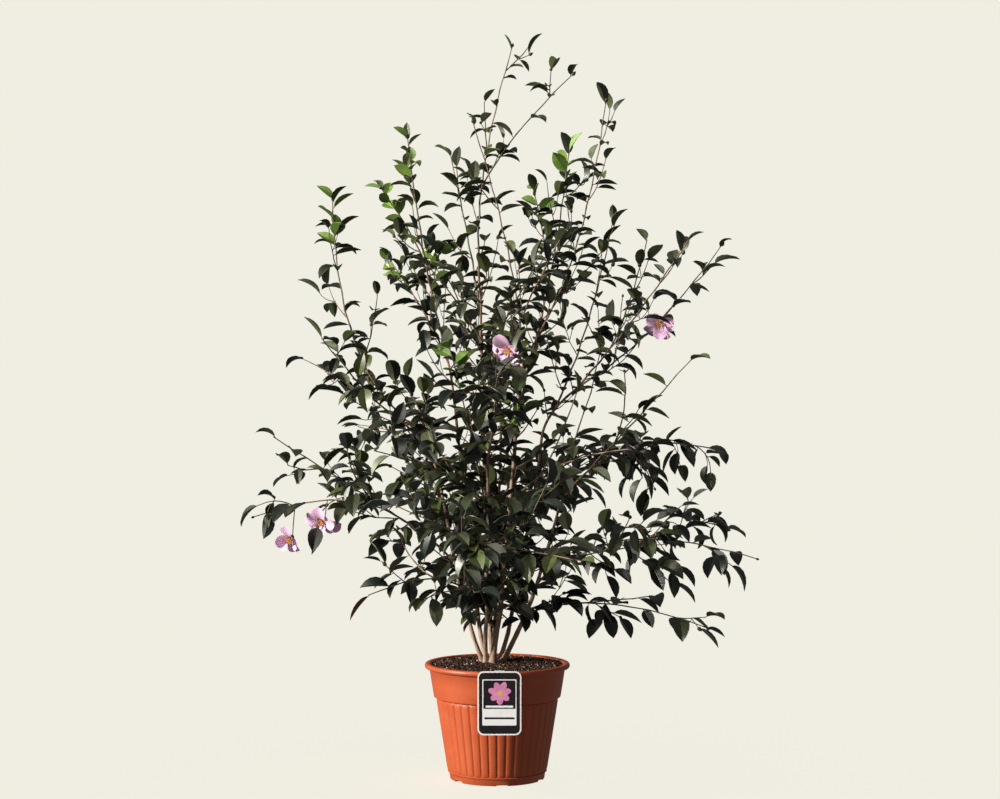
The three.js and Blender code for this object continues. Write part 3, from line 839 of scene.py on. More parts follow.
STEM = Habit(base=0.0038, tip=0.0023, every=0.06, sway=0.0012)
BOUGH = Habit(base=0.0021, tip=0.0017, every=0.045, sway=0.0012)
LEADER = Habit(base=0.0017, tip=0.0009, every=0.03, sway=0.0011)
SECOND_SHOOT = Habit(base=0.0014, tip=0.0009, every=0.03, sway=0.0011)
TWIGS = TwigRule(every=0.044, high_every=0.092, first=0.1, last=0.9, angle=44, spread=14, reach=0.4,
                 shortest=0.04, longest=0.12, base=0.0010, tip=0.0007)
SPURS = TwigRule(every=0.045, high_every=0.3, first=0.3, last=0.85, angle=50, spread=14, reach=0.5,
                 shortest=0.022, longest=0.042, base=0.0008, tip=0.0006)
INNER_TWIGS = TwigRule(every=0.030, high_every=0.055, first=0.22, last=0.97, angle=58, spread=18, reach=0.3,
                       shortest=0.06, longest=0.105, base=0.0012, tip=0.0008)
CROWN = CrownSize()
SHOOTS = ShootRule()
LEAVES = LeafRule()
YOUNG = YoungRule()
BUDS = BudRule()
INNER = InnerRule()
BLOOMS = BloomRule()


def canopy_share(z: float) -> float:
    """Returns how far up the canopy a height is, from 0 to 1."""
    return clamp((z - LEAVES.canopy_low) / (LEAVES.canopy_high - LEAVES.canopy_low), 0, 1)


def leaf_length(z: float) -> float:
    """Returns a leaf's length at a height."""
    return lerp(LEAVES.low_length, LEAVES.high_length, canopy_share(z))


def squared(vector: Vector, along: Vector) -> Vector:
    """Returns the unit vector square to a direction that lies nearest to a vector."""
    return (vector - along * vector.dot(along)).normalized()


def square_to(along: Vector) -> Vector:
    """Returns a unit vector square to a direction, as far up as it can be."""
    return squared(UP if abs(along.z) < 0.95 else RIGHT, along)


def around(tangent: Vector, turn: float) -> Vector:
    """Returns the unit vector square to a tangent, at a turn round it in degrees."""
    reference = UP if abs(tangent.z) < 0.9 else RIGHT
    return turned_about(reference.cross(tangent).normalized(), tangent, turn)


# Growth: the source's rule again, with finer twigs


@dataclass
class Path:
    """A curve from a start, towards a control point, to a tip."""

    start: Vector
    control: Vector
    tip: Vector

    @cached_property
    def length(self) -> float:
        """Returns the length, measured in twelve steps."""
        steps = self.steps(12)
        return sum((b - a).length for a, b in zip(steps, steps[1:]))

    def point(self, share: float) -> Vector:
        """Returns the place at a share of the way."""
        rest = 1 - share
        return self.start * rest**2 + self.control * (2 * rest * share) + self.tip * share**2

    def steps(self, count: int) -> list[Vector]:
        """Returns the places that part the curve into a number of steps."""
        return [self.point(i / count) for i in range(count + 1)]

    def tangent(self, share: float) -> Vector:
        """Returns the direction at a share of the way."""
        return ((self.control - self.start) * (1 - share) + (self.tip - self.control) * share).normalized()


class Stick:
    """A stem, bough, shoot or twig: a path that sways a little from node to node, and tapers."""

    def __init__(self, path: Path, habit: Habit, random: Seeded) -> None:
        """Sets out the nodes, by turns on either side of the path.

        Args:
            path: the line that it follows.
            habit: how it grows.
            random: the source of numbers.
        """
        self.path, self.habit = path, habit
        self.count = max(2, round(path.length / habit.every))
        phase = 360 * random.next()
        self.offsets = [Vector((0.0, 0.0, 0.0))]
        for i in range(1, self.count):
            turn = phase + 180 * i + habit.turn_spread * random.spread()
            self.offsets.append(around(path.tangent(i / self.count), turn) * habit.sway)
        self.offsets.append(Vector((0.0, 0.0, 0.0)))

    def point(self, share: float) -> Vector:
        """Returns the place on the stick at a share of its length."""
        at = min(int(share * self.count), self.count - 1)
        return self.path.point(share) + self.offsets[at].lerp(self.offsets[at + 1], share * self.count - at)

    def line(self, step: float, knuckle: float, flare: float = 0.0) -> Line:
        """Walks the stick in even steps.

        Args:
            step: the length of a step.
            knuckle: how much thicker it is at a node.
            flare: how much thicker it is at its foot.

        Returns:
            The places and radii.
        """
        knuckle_length, flare_length = 2.2 * self.habit.base, 0.012
        shares = np.linspace(0, 1, max(3, round(self.path.length / step) + 1))
        places = np.array([self.point(share) for share in shares])
        along = shares * self.path.length
        nodes = np.arange(1, self.count)[None] * self.path.length / self.count
        apart = np.abs(along[:, None] - nodes).min(1)
        radii = self.habit.base + (self.habit.tip - self.habit.base) * shares
        radii = radii * (1 + knuckle * np.exp(-((apart / knuckle_length) ** 2)))
        return Line(places, radii * (1 + flare * np.exp(-along / flare_length)))


class Curl(Enum):
    """How strongly a leaf bends from root to tip, in degrees."""

    FLAT = 20
    ARCHED = 48
    HOOKED = 80


class Tint(Enum):
    """The tints that leaves are dealt out in by spray. The fresh tint is partly painted light and the dark
    tint partly painted shade, from where in the canopy they mostly go.
    """

    DEEP = "deep"
    DARK = "dark"
    FRESH_WITH_PAINTED_LIGHT = "fresh_with_painted_light"
    YOUNG = "young"


@dataclass
class Blade:
    """A leaf's place: its root, direction, upper side, length and width."""

    root: Vector
    direction: Vector
    normal: Vector
    length: float
    width: float
    curl: Curl
    tint: Tint


LOW_CURLS = ((Curl.FLAT, 0.55), (Curl.ARCHED, 0.38), (Curl.HOOKED, 0.07))
HIGH_CURLS = ((Curl.FLAT, 0.2), (Curl.ARCHED, 0.5), (Curl.HOOKED, 0.3))
# Lighter deep and fresh tints go mostly high in the canopy, and the near-black dark tint mostly low. This is
# partly real difference from leaf to leaf, and partly painted light on the upper canopy and painted shade on
# the lower.
LOW_TINTS_WITH_PAINTED_SHADE = ((Tint.DEEP, 0.32), (Tint.DARK, 0.60), (Tint.FRESH_WITH_PAINTED_LIGHT, 0.08))
HIGH_TINTS_WITH_PAINTED_LIGHT = ((Tint.DEEP, 0.52), (Tint.DARK, 0.06), (Tint.FRESH_WITH_PAINTED_LIGHT, 0.42))


def leaf_pose(tangent: Vector, turn: float, spread: float, z: float, roll: float) -> tuple[Vector, Vector]:
    """Works out how a leaf sits: low ones hang more.

    Args:
        tangent: the stem's direction.
        turn: the leaf's turn round the stem in degrees.
        spread: its angle from the stem in degrees.
        z: its height.
        roll: its turn about itself in degrees.

    Returns:
        The directions of the leaf and of its upper side.
    """
    outward = around(tangent, turn)
    outward.z *= LEAVES.flatten
    outward.normalize()
    angle = math.radians(spread)
    direction = tangent * math.cos(angle) + outward * math.sin(angle)
    hang = lerp(LEAVES.low_hang, LEAVES.high_hang, canopy_share(z)) * math.sin(angle)
    direction = (direction - UP * hang).normalized()
    facing = UP if abs(direction.z) < 0.9 else outward * -math.copysign(1, direction.z)
    return direction, turned_about(squared(facing, direction), direction, roll)


class Growth:
    """The whole shrub as sticks and blades, grown by the source's rule and carried to finer twigs."""

    def __init__(self) -> None:
        """Grows the limbs, then each mass, then the inner twigs."""
        self.random = Seeded(FIRST_SEED - 1)
        self.stems: dict[str, Stick] = {}
        self.boughs: dict[str, Stick] = {}
        self.shoots: list[Stick] = []
        self.twigs: list[Stick] = []
        self.blades: list[Blade] = []
        self.blooms: list[tuple[Vector, Vector]] = []
        self.buds: list[tuple[Vector, Vector, float]] = []
        for size in STEMS:
            habit = replace(STEM, base=size.base, tip=size.tip)
            self.stems[size.name] = Stick(self.stem_path(size), habit, self.random)
        for size in BOUGHS:
            parent = self.limb(size.on)
            habit = replace(BOUGH, base=parent.habit.tip) if size.at == 1 else BOUGH
            path = self.leaving(parent, size.at, Vector(size.tip))
            self.boughs[size.name] = Stick(path, habit, self.random)
        for number, size in enumerate(MASSES):
            self.grow_mass(size, Seeded(FIRST_SEED + SEED_STEP * number))
        for size in (*STEMS, *BOUGHS):
            self.grow_inner(self.limb(size.name), size.leafy)
        self.blades = [blade for blade in self.blades if self.clear_of_blooms(blade)]

    def limb(self, name: str) -> Stick:
        """Returns a stem or bough by name."""
        return self.stems.get(name) or self.boughs[name]

    @staticmethod
    def stem_path(size: StemSize) -> Path:
        """Sets out a main stem, from the root crown by its elbow to its fork.

        Args:
            size: the stem.

        Returns:
            Its path.
        """
        turn = math.radians(size.foot)
        foot = Vector((CROWN.x + size.ring * math.cos(turn), CROWN.y + size.ring * math.sin(turn),
                       CROWN.soil + CROWN.stem_foot))
        fork = Vector(size.fork)
        shares = (CROWN.elbow_out, CROWN.elbow_out, CROWN.elbow_up)
        return Path(foot, Vector(map(lerp, foot, fork, shares)), fork)

    @staticmethod
    def leaving(parent: Stick, at: float, tip: Vector) -> Path:
        """Sets out a path that grows out of a stick at a share of its length.

        Args:
            parent: the stick.
            at: the share of its length, where 1 is its tip, which the path grows on from.
            tip: where the path ends.

        Returns:
            The path.
        """
        onward = parent.path.tangent(at)
        start = parent.point(at)
        aim = tip - start
        if at < 1:
            onward = onward.lerp(aim.normalized(), SHOOTS.towards_aim).normalized()
        return Path(start, start + onward * aim.length * SHOOTS.bend, tip)

    @staticmethod
    def short_of(place: Place, start: Vector) -> Vector:
        """Returns a shoot's end: a tip's place, less most of its last leaf."""
        tip = Vector(place)
        return tip - (tip - start).normalized() * LEAVES.beyond * leaf_length(tip.z)

    def grow_mass(self, size: MassSize, random: Seeded) -> None:
        """Grows the shoots of a mass, their twigs and spurs, the leaves and the blooms.

        Args:
            size: the mass.
            random: its source of numbers.
        """
        parent = self.limb(size.on)
        tip = self.short_of(size.tip, parent.point(size.at))
        leader = Stick(self.leaving(parent, size.at, tip), LEADER, random)
        shoots = [leader]
        if size.fork:
            end = self.short_of(size.fork, leader.point(SHOOTS.fork_at))
            shoots.append(Stick(self.leaving(leader, SHOOTS.fork_at, end), SECOND_SHOOT, random))
        space = [place for shoot in shoots for place in shoot.path.steps(SHOOTS.space_steps)]
        for share in size.blooms:
            self.set_bloom(leader, share)
        for shoot in shoots:
            self.shoots.append(shoot)
            self.set_leaves(shoot, min(1.0, lerp(SHOOTS.fewest_leaves, 1.0, size.full)), random, space)
            if size.young:
                self.set_young(shoot, random)
            self.grow_twigs(shoot, (TWIGS, SPURS), size, random, space)

    def grow_twigs(self, stick: Stick, rules: Sequence[TwigRule], size: MassSize, random: Seeded,
                   space: Sequence[Vector]) -> None:
        """Grows the leafy twigs of a stick in a mass, and then the twigs of each twig.

        Args:
            stick: what they grow on.
            rules: the rule of the twigs, and then of the twigs on them.
            size: the mass.
            random: its source of numbers.
            space: places round which the mass keeps.
        """
        for twig in self.twigs_of(stick, rules[0], size.lift, size.full, random):
            if self.holds(twig.path.tip, space):
                self.twigs.append(twig)
                self.set_leaves(twig, 1, random, space)
                if rules[1:]:
                    self.grow_twigs(twig, rules[1:], size, random, space)

    def grow_inner(self, limb: Stick, leafy: float) -> None:
        """Grows the leafy twigs of the crown's core on one stem or bough.

        Args:
            limb: the stem or bough.
            leafy: how many there are, as a share of the rule's number.
        """
        for twig in self.twigs_of(limb, INNER_TWIGS, INNER.lift, leafy, self.random):
            if twig.path.start.z > INNER.lowest:
                self.twigs.append(twig)
                self.set_leaves(twig, 1, self.random, twig.path.steps(INNER.space_steps))

    @staticmethod
    def twigs_of(stick: Stick, rule: TwigRule, lift: float, full: float, random: Seeded) -> list[Stick]:
        """Grows the side twigs of a stick, each a short curve that turns up or down by the lift.

        Args:
            stick: what they grow on.
            rule: their sizes.
            lift: how strongly they turn up.
            full: how many there are, as a share of the rule's number.
            random: the source of numbers.

        Returns:
            The twigs.
        """
        phase = 360 * random.next()
        length = stick.path.length
        reach = clamp(length * rule.reach, rule.shortest, rule.longest)
        habit = Habit(rule.base, rule.tip, LEAVES.low_every, rule.sway)
        twigs: list[Stick] = []
        along = rule.first * length + rule.every * random.next() * rule.start_spread
        while along < rule.last * length:
            share = along / length
            apart = lerp(rule.every, rule.high_every, canopy_share(stick.path.point(share).z) ** 2)
            along += apart / full * (1 + rule.uneven * random.spread())
            angle = math.radians(rule.angle + rule.spread * random.spread())
            vigour = rule.least_vigour + rule.more_vigour * random.next()
            grown = reach * vigour * (1 - rule.taper * share)
            side = around(stick.path.tangent(share), phase + GOLDEN_TURN * len(twigs))
            leaving = stick.path.tangent(share) * math.cos(angle) + side * math.sin(angle)
            onward = (leaving + UP * lift).normalized()
            start = stick.point(share)
            path = Path(start, start + leaving * grown / 2, start + onward * grown)
            twigs.append(Stick(path, habit, random))
        return twigs

    @staticmethod
    def holds(place: Vector, space: Sequence[Vector]) -> bool:
        """Says whether a place keeps to a mass's own space above the soil, and inside the solids' box."""
        inside = all(low <= at <= high for low, at, high in zip(CAD_BOX[0], place, CAD_BOX[1]))
        return inside and place.z > LEAVES.lowest and any((place - s).length < LEAVES.around for s in space)

    def set_young(self, shoot: Stick, random: Seeded) -> None:
        """Sets the spray of broad young leaves at the end of a shoot.

        Args:
            shoot: the shoot.
            random: the source of numbers.
        """
        phase = 360 * random.next()
        for i in range(YOUNG.count):
            share = 1 - YOUNG.reach / shoot.path.length * (1 - (i + 1) / YOUNG.count)
            start = shoot.point(share)
            roll = YOUNG.roll * random.spread()
            turn = phase + LEAVES.turn * i
            direction, normal = leaf_pose(shoot.path.tangent(share), turn, YOUNG.angle, start.z, roll)
            length = YOUNG.length * (1 + YOUNG.spread * random.spread())
            width = length * YOUNG.width
            self.blades.append(Blade(start, direction, normal, length, width, Curl.FLAT, Tint.YOUNG))

    def set_leaves(self, stick: Stick, full: float, random: Seeded, space: Sequence[Vector]) -> None:
        """Sets leaves along a stick, one at each node and one at its tip, or a bud where that has no room.

        Args:
            stick: what they stand on.
            full: how many there are, as a share of the rule's number.
            random: the source of numbers.
            space: places round which the mass keeps.
        """
        high = canopy_share(stick.path.point(0.5).z)
        # Higher sticks more often take the lighter tints, partly painted light, and lower sticks the
        # near-black dark tint, partly painted shade.
        tint = random.choose(HIGH_TINTS_WITH_PAINTED_LIGHT if random.next() < high else LOW_TINTS_WITH_PAINTED_SHADE)
        every = lerp(LEAVES.low_every, LEAVES.high_every, high)
        count = max(1, round(stick.path.length * (1 - LEAVES.bare) * full / every))
        phase = 360 * random.next()
        for i in range(count + 1):
            share = lerp(LEAVES.bare, LEAVES.last_at, i / count)
            start = stick.point(share)
            high = canopy_share(start.z)
            length = leaf_length(start.z) * (1 + LEAVES.spread * random.spread())
            roll = lerp(LEAVES.low_roll, LEAVES.high_roll, high) * random.spread()
            curl = random.choose(LOW_CURLS if random.next() > high else HIGH_CURLS)
            turn = phase + LEAVES.turn * i
            angle = lerp(LEAVES.angle, LEAVES.high_angle, high)
            if i == count:
                angle = lerp(LEAVES.tip_angle, LEAVES.high_tip_angle, high)
            direction, normal = leaf_pose(stick.path.tangent(share), turn, angle, start.z, roll)
            width = lerp(LEAVES.low_width, LEAVES.high_width, high) + LEAVES.width_spread * random.spread()
            if self.holds(start + direction * length, space):
                self.blades.append(Blade(start, direction, normal, length, length * width, curl, tint))
            elif i == count:
                self.buds.append((start, stick.path.tangent(1), BUDS.least))
        if random.next() < BUDS.share:
            size = BUDS.least + BUDS.more * random.next()
            self.buds.append((stick.point(BUDS.at), stick.path.tangent(1), size))

    def set_bloom(self, leader: Stick, share: float) -> None:
        """Notes a bloom: where its stalk leaves a leader, and its centre.

        Args:
            leader: the shoot that carries it.
            share: at which share of the shoot's length.
        """
        foot = leader.point(share)
        number = len(self.blooms)
        hang = Vector((0.0, -BLOOMS.ahead[number], -BLOOMS.drops[number]))
        self.blooms.append((foot, foot + BLOOMS.way * BLOOMS.out + hang))

    def clear_of_blooms(self, blade: Blade) -> bool:
        """Says whether a leaf leaves every bloom its room."""
        middle = blade.root + blade.direction * blade.length / 2
        return all((middle - centre).length > BLOOMS.room for _, centre in self.blooms)


# Joined meshes from arrays


@dataclass
class Template:
    """A small mesh as arrays, for many copies in one mesh."""

    places: np.ndarray
    corners: np.ndarray
    starts: np.ndarray
    finishes: np.ndarray
    maps: np.ndarray

    @staticmethod
    def of(piece: Piece) -> "Template":
        """Reads a piece into arrays and removes it.

        Args:
            piece: the piece, which isn't kept.

        Returns:
            The template.
        """
        mesh = piece.data
        places = Template.read(mesh.vertices, "co", np.zeros(3 * len(mesh.vertices))).reshape(-1, 3)
        corners = Template.read(mesh.loops, "vertex_index", np.zeros(len(mesh.loops), int))
        starts = Template.read(mesh.polygons, "loop_start", np.zeros(len(mesh.polygons), int))
        finishes = Template.read(mesh.polygons, "material_index", np.zeros(len(mesh.polygons), int))
        maps = np.zeros(2 * len(mesh.loops))
        if mesh.uv_layers:
            Template.read(mesh.uv_layers[0].data, "uv", maps)
        bpy.data.objects.remove(piece)
        bpy.data.meshes.remove(mesh)
        return Template(places, corners, starts, finishes, maps)

    @staticmethod
    def read(items: bpy.types.bpy_prop_collection, key: str, values: np.ndarray) -> np.ndarray:
        """Fills an array with one property of all the items, and returns it."""
        items.foreach_get(key, values)
        return values


def copies(name: str, lots: Iterable[tuple[Template, Sequence[np.ndarray]]]) -> Piece:
    """Joins many copies of templates into one mesh.

    Args:
        name: the piece's name.
        lots: each template with the 4 by 4 matrices that set its copies.

    Returns:
        The piece.
    """
    places, corners, starts, finishes, maps = [], [], [], [], []
    vertices = loops = 0
    for template, matrices in lots:
        count = len(matrices)
        if not count:
            continue
        own = np.c_[template.places, np.ones(len(template.places))]
        steps = np.arange(count)[:, None]
        places.append(np.einsum("nij,vj->nvi", np.array(matrices), own)[..., :3].reshape(-1, 3))
        corners.append((template.corners[None] + steps * len(own) + vertices).ravel())
        starts.append((template.starts[None] + steps * len(template.corners) + loops).ravel())
        finishes.append(np.tile(template.finishes, count))
        maps.append(np.tile(template.maps, count))
        vertices += len(own) * count
        loops += len(template.corners) * count
    mesh = bpy.data.meshes.new(name)
    mesh.vertices.add(vertices)
    mesh.vertices.foreach_set("co", np.concatenate(places).ravel())
    mesh.loops.add(loops)
    mesh.loops.foreach_set("vertex_index", np.concatenate(corners))
    mesh.polygons.add(sum(map(len, starts)))
    mesh.polygons.foreach_set("loop_start", np.concatenate(starts))
    mesh.polygons.foreach_set("material_index", np.concatenate(finishes))
    mesh.uv_layers.new(name="UVMap").data.foreach_set("uv", np.concatenate(maps))
    mesh.update(calc_edges=True)
    mesh.validate()
    piece = bpy.data.objects.new(name, mesh)
    bpy.context.collection.objects.link(piece)
    return piece


def setting(root: Vector, along: Vector, up: Vector, size: Place) -> np.ndarray:
    """Works out the matrix that sets a template with its X axis along a direction.

    Args:
        root: where its origin goes.
        along: where its X axis points.
        up: where its Z axis points, square to along.
        size: its scale along X, Y and Z.

    Returns:
        A 4 by 4 matrix.
    """
    matrix = np.eye(4)
    matrix[:3, :3] = np.column_stack((along, up.cross(along), up)) * size
    matrix[:3, 3] = root
    return matrix


def dress(piece: Piece, slot: str, *materials: Material, smooth: float) -> None:
    """Smooths a piece, gives it its materials and body, and reports it.

    Args:
        piece: the piece.
        slot: the record's slot; not used.
        materials: its materials in order.
        smooth: the angle in degrees past which its edges stay sharp.
    """
    Bench.take(piece)
    bpy.ops.object.shade_smooth_by_angle(angle=math.radians(smooth))
    piece.data.materials.clear()
    for material in materials:
        piece.data.materials.append(material)
    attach(piece, BODY)
    LOG.info("%s: %d triangles", piece.name, sum(len(face.vertices) - 2 for face in piece.data.polygons))


# The pot


@dataclass
class Pot:
    """The fluted plastic pot with its rolled rim, plain band and drainage notches."""

    height: float = 0.190
    rim_radius: float = 0.120
    rim_depth: float = 0.008
    rim_flatness: float = 0.75
    band_top: float = 0.112
    band_foot: float = 0.105
    band_z: float = 0.135
    band_step: float = 0.0035
    wall_foot_radius: float = 0.082
    wall_foot_z: float = 0.012
    waist_z: float = 0.07
    foot_radius: float = 0.078
    recess_radius: float = 0.070
    recess: float = 0.0022
    hub: float = 0.004
    wall: float = 0.0026
    floor: float = 0.0035
    ribs: int = 40
    sides_per_rib: int = 8
    rib_depth: float = 0.0018
    rib_crest: float = 0.8
    rib_head: float = 0.1325
    rib_foot: float = 0.0135
    rib_fade: float = 0.0075
    notches: int = 6
    notch_width: float = 0.019
    notch_height: float = 0.0026
    notch_depth: float = 0.005
    notch_round: float = 0.0012
    first_notch: float = -84

    def outer(self, z: float) -> float:
        """Returns the radius of the wall's crests at a height below the band."""
        share = (z - self.wall_foot_z) / (self.band_z - self.wall_foot_z)
        return lerp(self.wall_foot_radius, self.band_foot - self.band_step, share)

    def inner(self, z: float) -> float:
        """Works out the radius of the inner wall.

        Args:
            z: the height.

        Returns:
            The radius there.
        """
        shy = self.wall + self.rib_depth
        if z < self.band_z:
            return self.outer(z) - shy
        rise = (z - self.band_z) / (self.height - self.band_z)
        return lerp(self.outer(self.band_z) - shy, self.band_top - self.wall, rise)

    def rib_rows(self) -> list[float]:
        """Sets out the rings along the ribs, close at both rounded ends.

        Returns:
            Their heights.
        """
        ends = [0.0, 0.05, 0.2, 0.42, 0.7, 1.0]
        low = [self.rib_foot + self.rib_fade * share for share in ends]
        high = [self.rib_head - self.rib_fade * share for share in reversed(ends)]
        middle = np.linspace(low[-1], high[0], 8)[1:-1]
        return [*low, *middle, *high]

    @staticmethod
    def near(radius: float, z: float, *steps: tuple[float, float]) -> list[tuple[float, float]]:
        """Returns the points that lie small steps outwards and upwards from a place on the outline."""
        return [(radius + out, z + up) for out, up in steps]

    def outline(self) -> list[tuple[float, float]]:
        """Sets out the wall, from the underside's middle over the rim to the floor's middle.

        Returns:
            The outline, as radii and heights.
        """
        rim_foot = self.height - self.rim_depth
        bead = self.rim_depth / 2
        turns = [math.radians(turn) for turn in range(-80, 81, 20)]
        levels = (self.height - 0.004, self.height - 0.010, self.band_z, self.waist_z, self.floor)
        return [
            (self.hub, self.recess), (self.recess_radius - 0.010, self.recess),
            *self.near(self.recess_radius, 0.0, (0.0, 0.0020), (0.0012, 0.0004), (0.0022, 0.0)),
            *self.near(self.foot_radius, 0.0, (-0.0006, 0.0), (0.0, 0.0006)),
            *self.near(self.foot_radius, self.wall_foot_z, (0.0012, -0.0030), (0.0020, -0.0018)),
            *self.near(self.wall_foot_radius, self.wall_foot_z, (-0.0008, -0.0004), (0.0, 0.0004)),
            *((self.outer(z), z) for z in self.rib_rows()),
            *self.near(self.outer(self.band_z), self.band_z, (0.0004, -0.0012)),
            *self.near(self.band_foot, self.band_z, (-0.0012, -0.0004), (-0.0003, 0.0002), (0.0, 0.0012)),
            (lerp(self.band_foot, self.band_top, 0.5), lerp(self.band_z, self.height - 0.010, 0.5)),
            *self.near(self.band_top, rim_foot, (-0.0002, -0.0028), (0.0008, -0.0012)),
            *((self.rim_radius - bead * self.rim_flatness * (1 - math.cos(turn)),
               self.height - bead + bead * math.sin(turn)) for turn in turns),
            *self.near(self.inner(self.height), self.height, (0.0035, -0.0001), (0.0014, -0.0005),
                       (0.0003, -0.0016)),
            *((self.inner(z), z) for z in levels),
            (self.hub, self.floor),
        ]

    def flute(self) -> None:
        """Sinks the wall between the ribs, ring by ring and side by side, by radial resizes."""
        sides = self.ribs * self.sides_per_rib
        mesh = bpy.context.object.data
        places = np.array([vertex.co for vertex in mesh.vertices])
        radii = np.hypot(places[:, 0], places[:, 1])
        phases = np.rint(np.degrees(np.arctan2(places[:, 1], places[:, 0])) * sides / 360).astype(int)
        phases %= self.sides_per_rib
        across = np.minimum(phases, self.sides_per_rib - phases)
        Bench.edit()
        for z in self.rib_rows():
            end = clamp(min(z - self.rib_foot, self.rib_head - z) / self.rib_fade, 0, 1)
            round_end = math.sqrt(1 - (1 - end) ** 2)
            ring = (np.abs(places[:, 2] - z) < NEARLY) & (np.abs(radii - self.outer(z)) < NEARLY)
            for side in range(self.sides_per_rib // 2 + 1):
                off = side * 2 / self.sides_per_rib
                crest = math.sqrt(1 - (1 - off) ** 2) ** self.rib_crest
                sunk = self.rib_depth * (1 - crest * round_end)
                if sunk > NEARLY:
                    share = 1 - sunk / self.outer(z)
                    Bench.pick_numbers(np.flatnonzero(ring & (across == side)).tolist())
                    Bench.scale(share, share, 1.0)
        Bench.leave()

    def notch(self, pot: Piece) -> None:
        """Cuts the drainage notches into the foot.

        Args:
            pot: the pot.
        """
        cutters = []
        reach = self.foot_radius + 0.0015
        size = (2 * self.notch_depth + 0.006, self.notch_width, 2 * self.notch_height)
        for number in range(self.notches):
            Bench.clear()
            heading = math.radians(self.first_notch + 360 * number / self.notches)
            place = (reach * math.cos(heading), reach * math.sin(heading), 0)
            bpy.ops.mesh.primitive_cube_add(size=1, location=place, rotation=(0, 0, heading))
            cutter = Bench.named(f"notch_cutter_{number}", size)
            Bench.modify(cutter, "BEVEL", width=self.notch_round, segments=3)
            cutters.append(cutter)
        cutter = Bench.join("notch_cutter", cutters)
        Bench.modify(pot, "BOOLEAN", object=cutter, operation="DIFFERENCE", solver="EXACT")
        bpy.data.objects.remove(cutter)

    def build(self) -> None:
        """Builds the pot and dresses it in its plastic."""
        pot = Bench.turned("fluted_pot", self.outline(), self.ribs * self.sides_per_rib)
        self.flute()
        self.notch(pot)
        plastic = Finish("terracotta_plastic", colour(0.50, 0.096, 0.031), colour(0.44, 0.082, 0.027), 24,
                         0.42, fine=0.25, grain=2600, relief=0.00006, specular=0.45)
        dress(pot, "pot", plastic.material(), smooth=40)
        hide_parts("pot")


# The soil


@dataclass(frozen=True)
class Loose:
    """What lies loose on the soil: how many, how large, and their shape along, across and up."""

    name: str
    count: int
    size: float
    shape: Place
    finish: Finish


DAMP = Finish("damp_soil", colour(0.088, 0.048, 0.036), colour(0.012, 0.007, 0.006), 170, 0.92, fine=0.6,
              grain=700, pits=0.6, relief=0.0012, specular=0.2)
PALE = Finish("perlite", colour(0.52, 0.44, 0.33), colour(0.30, 0.22, 0.15), 200, 0.9, grain=3000)
CHIPPED = Finish("bark_chip", colour(0.20, 0.10, 0.05), colour(0.06, 0.03, 0.016), 160, 0.85, grain=2400)
LOOSE = (
    Loose("soil_crumbs", 1500, 0.0021, (1.0, 0.9, 0.75), DAMP),
    Loose("soil_grains", 190, 0.0016, (1.0, 0.9, 0.8), PALE),
    Loose("soil_chips", 130, 0.0042, (1.0, 0.45, 0.3), CHIPPED),
)


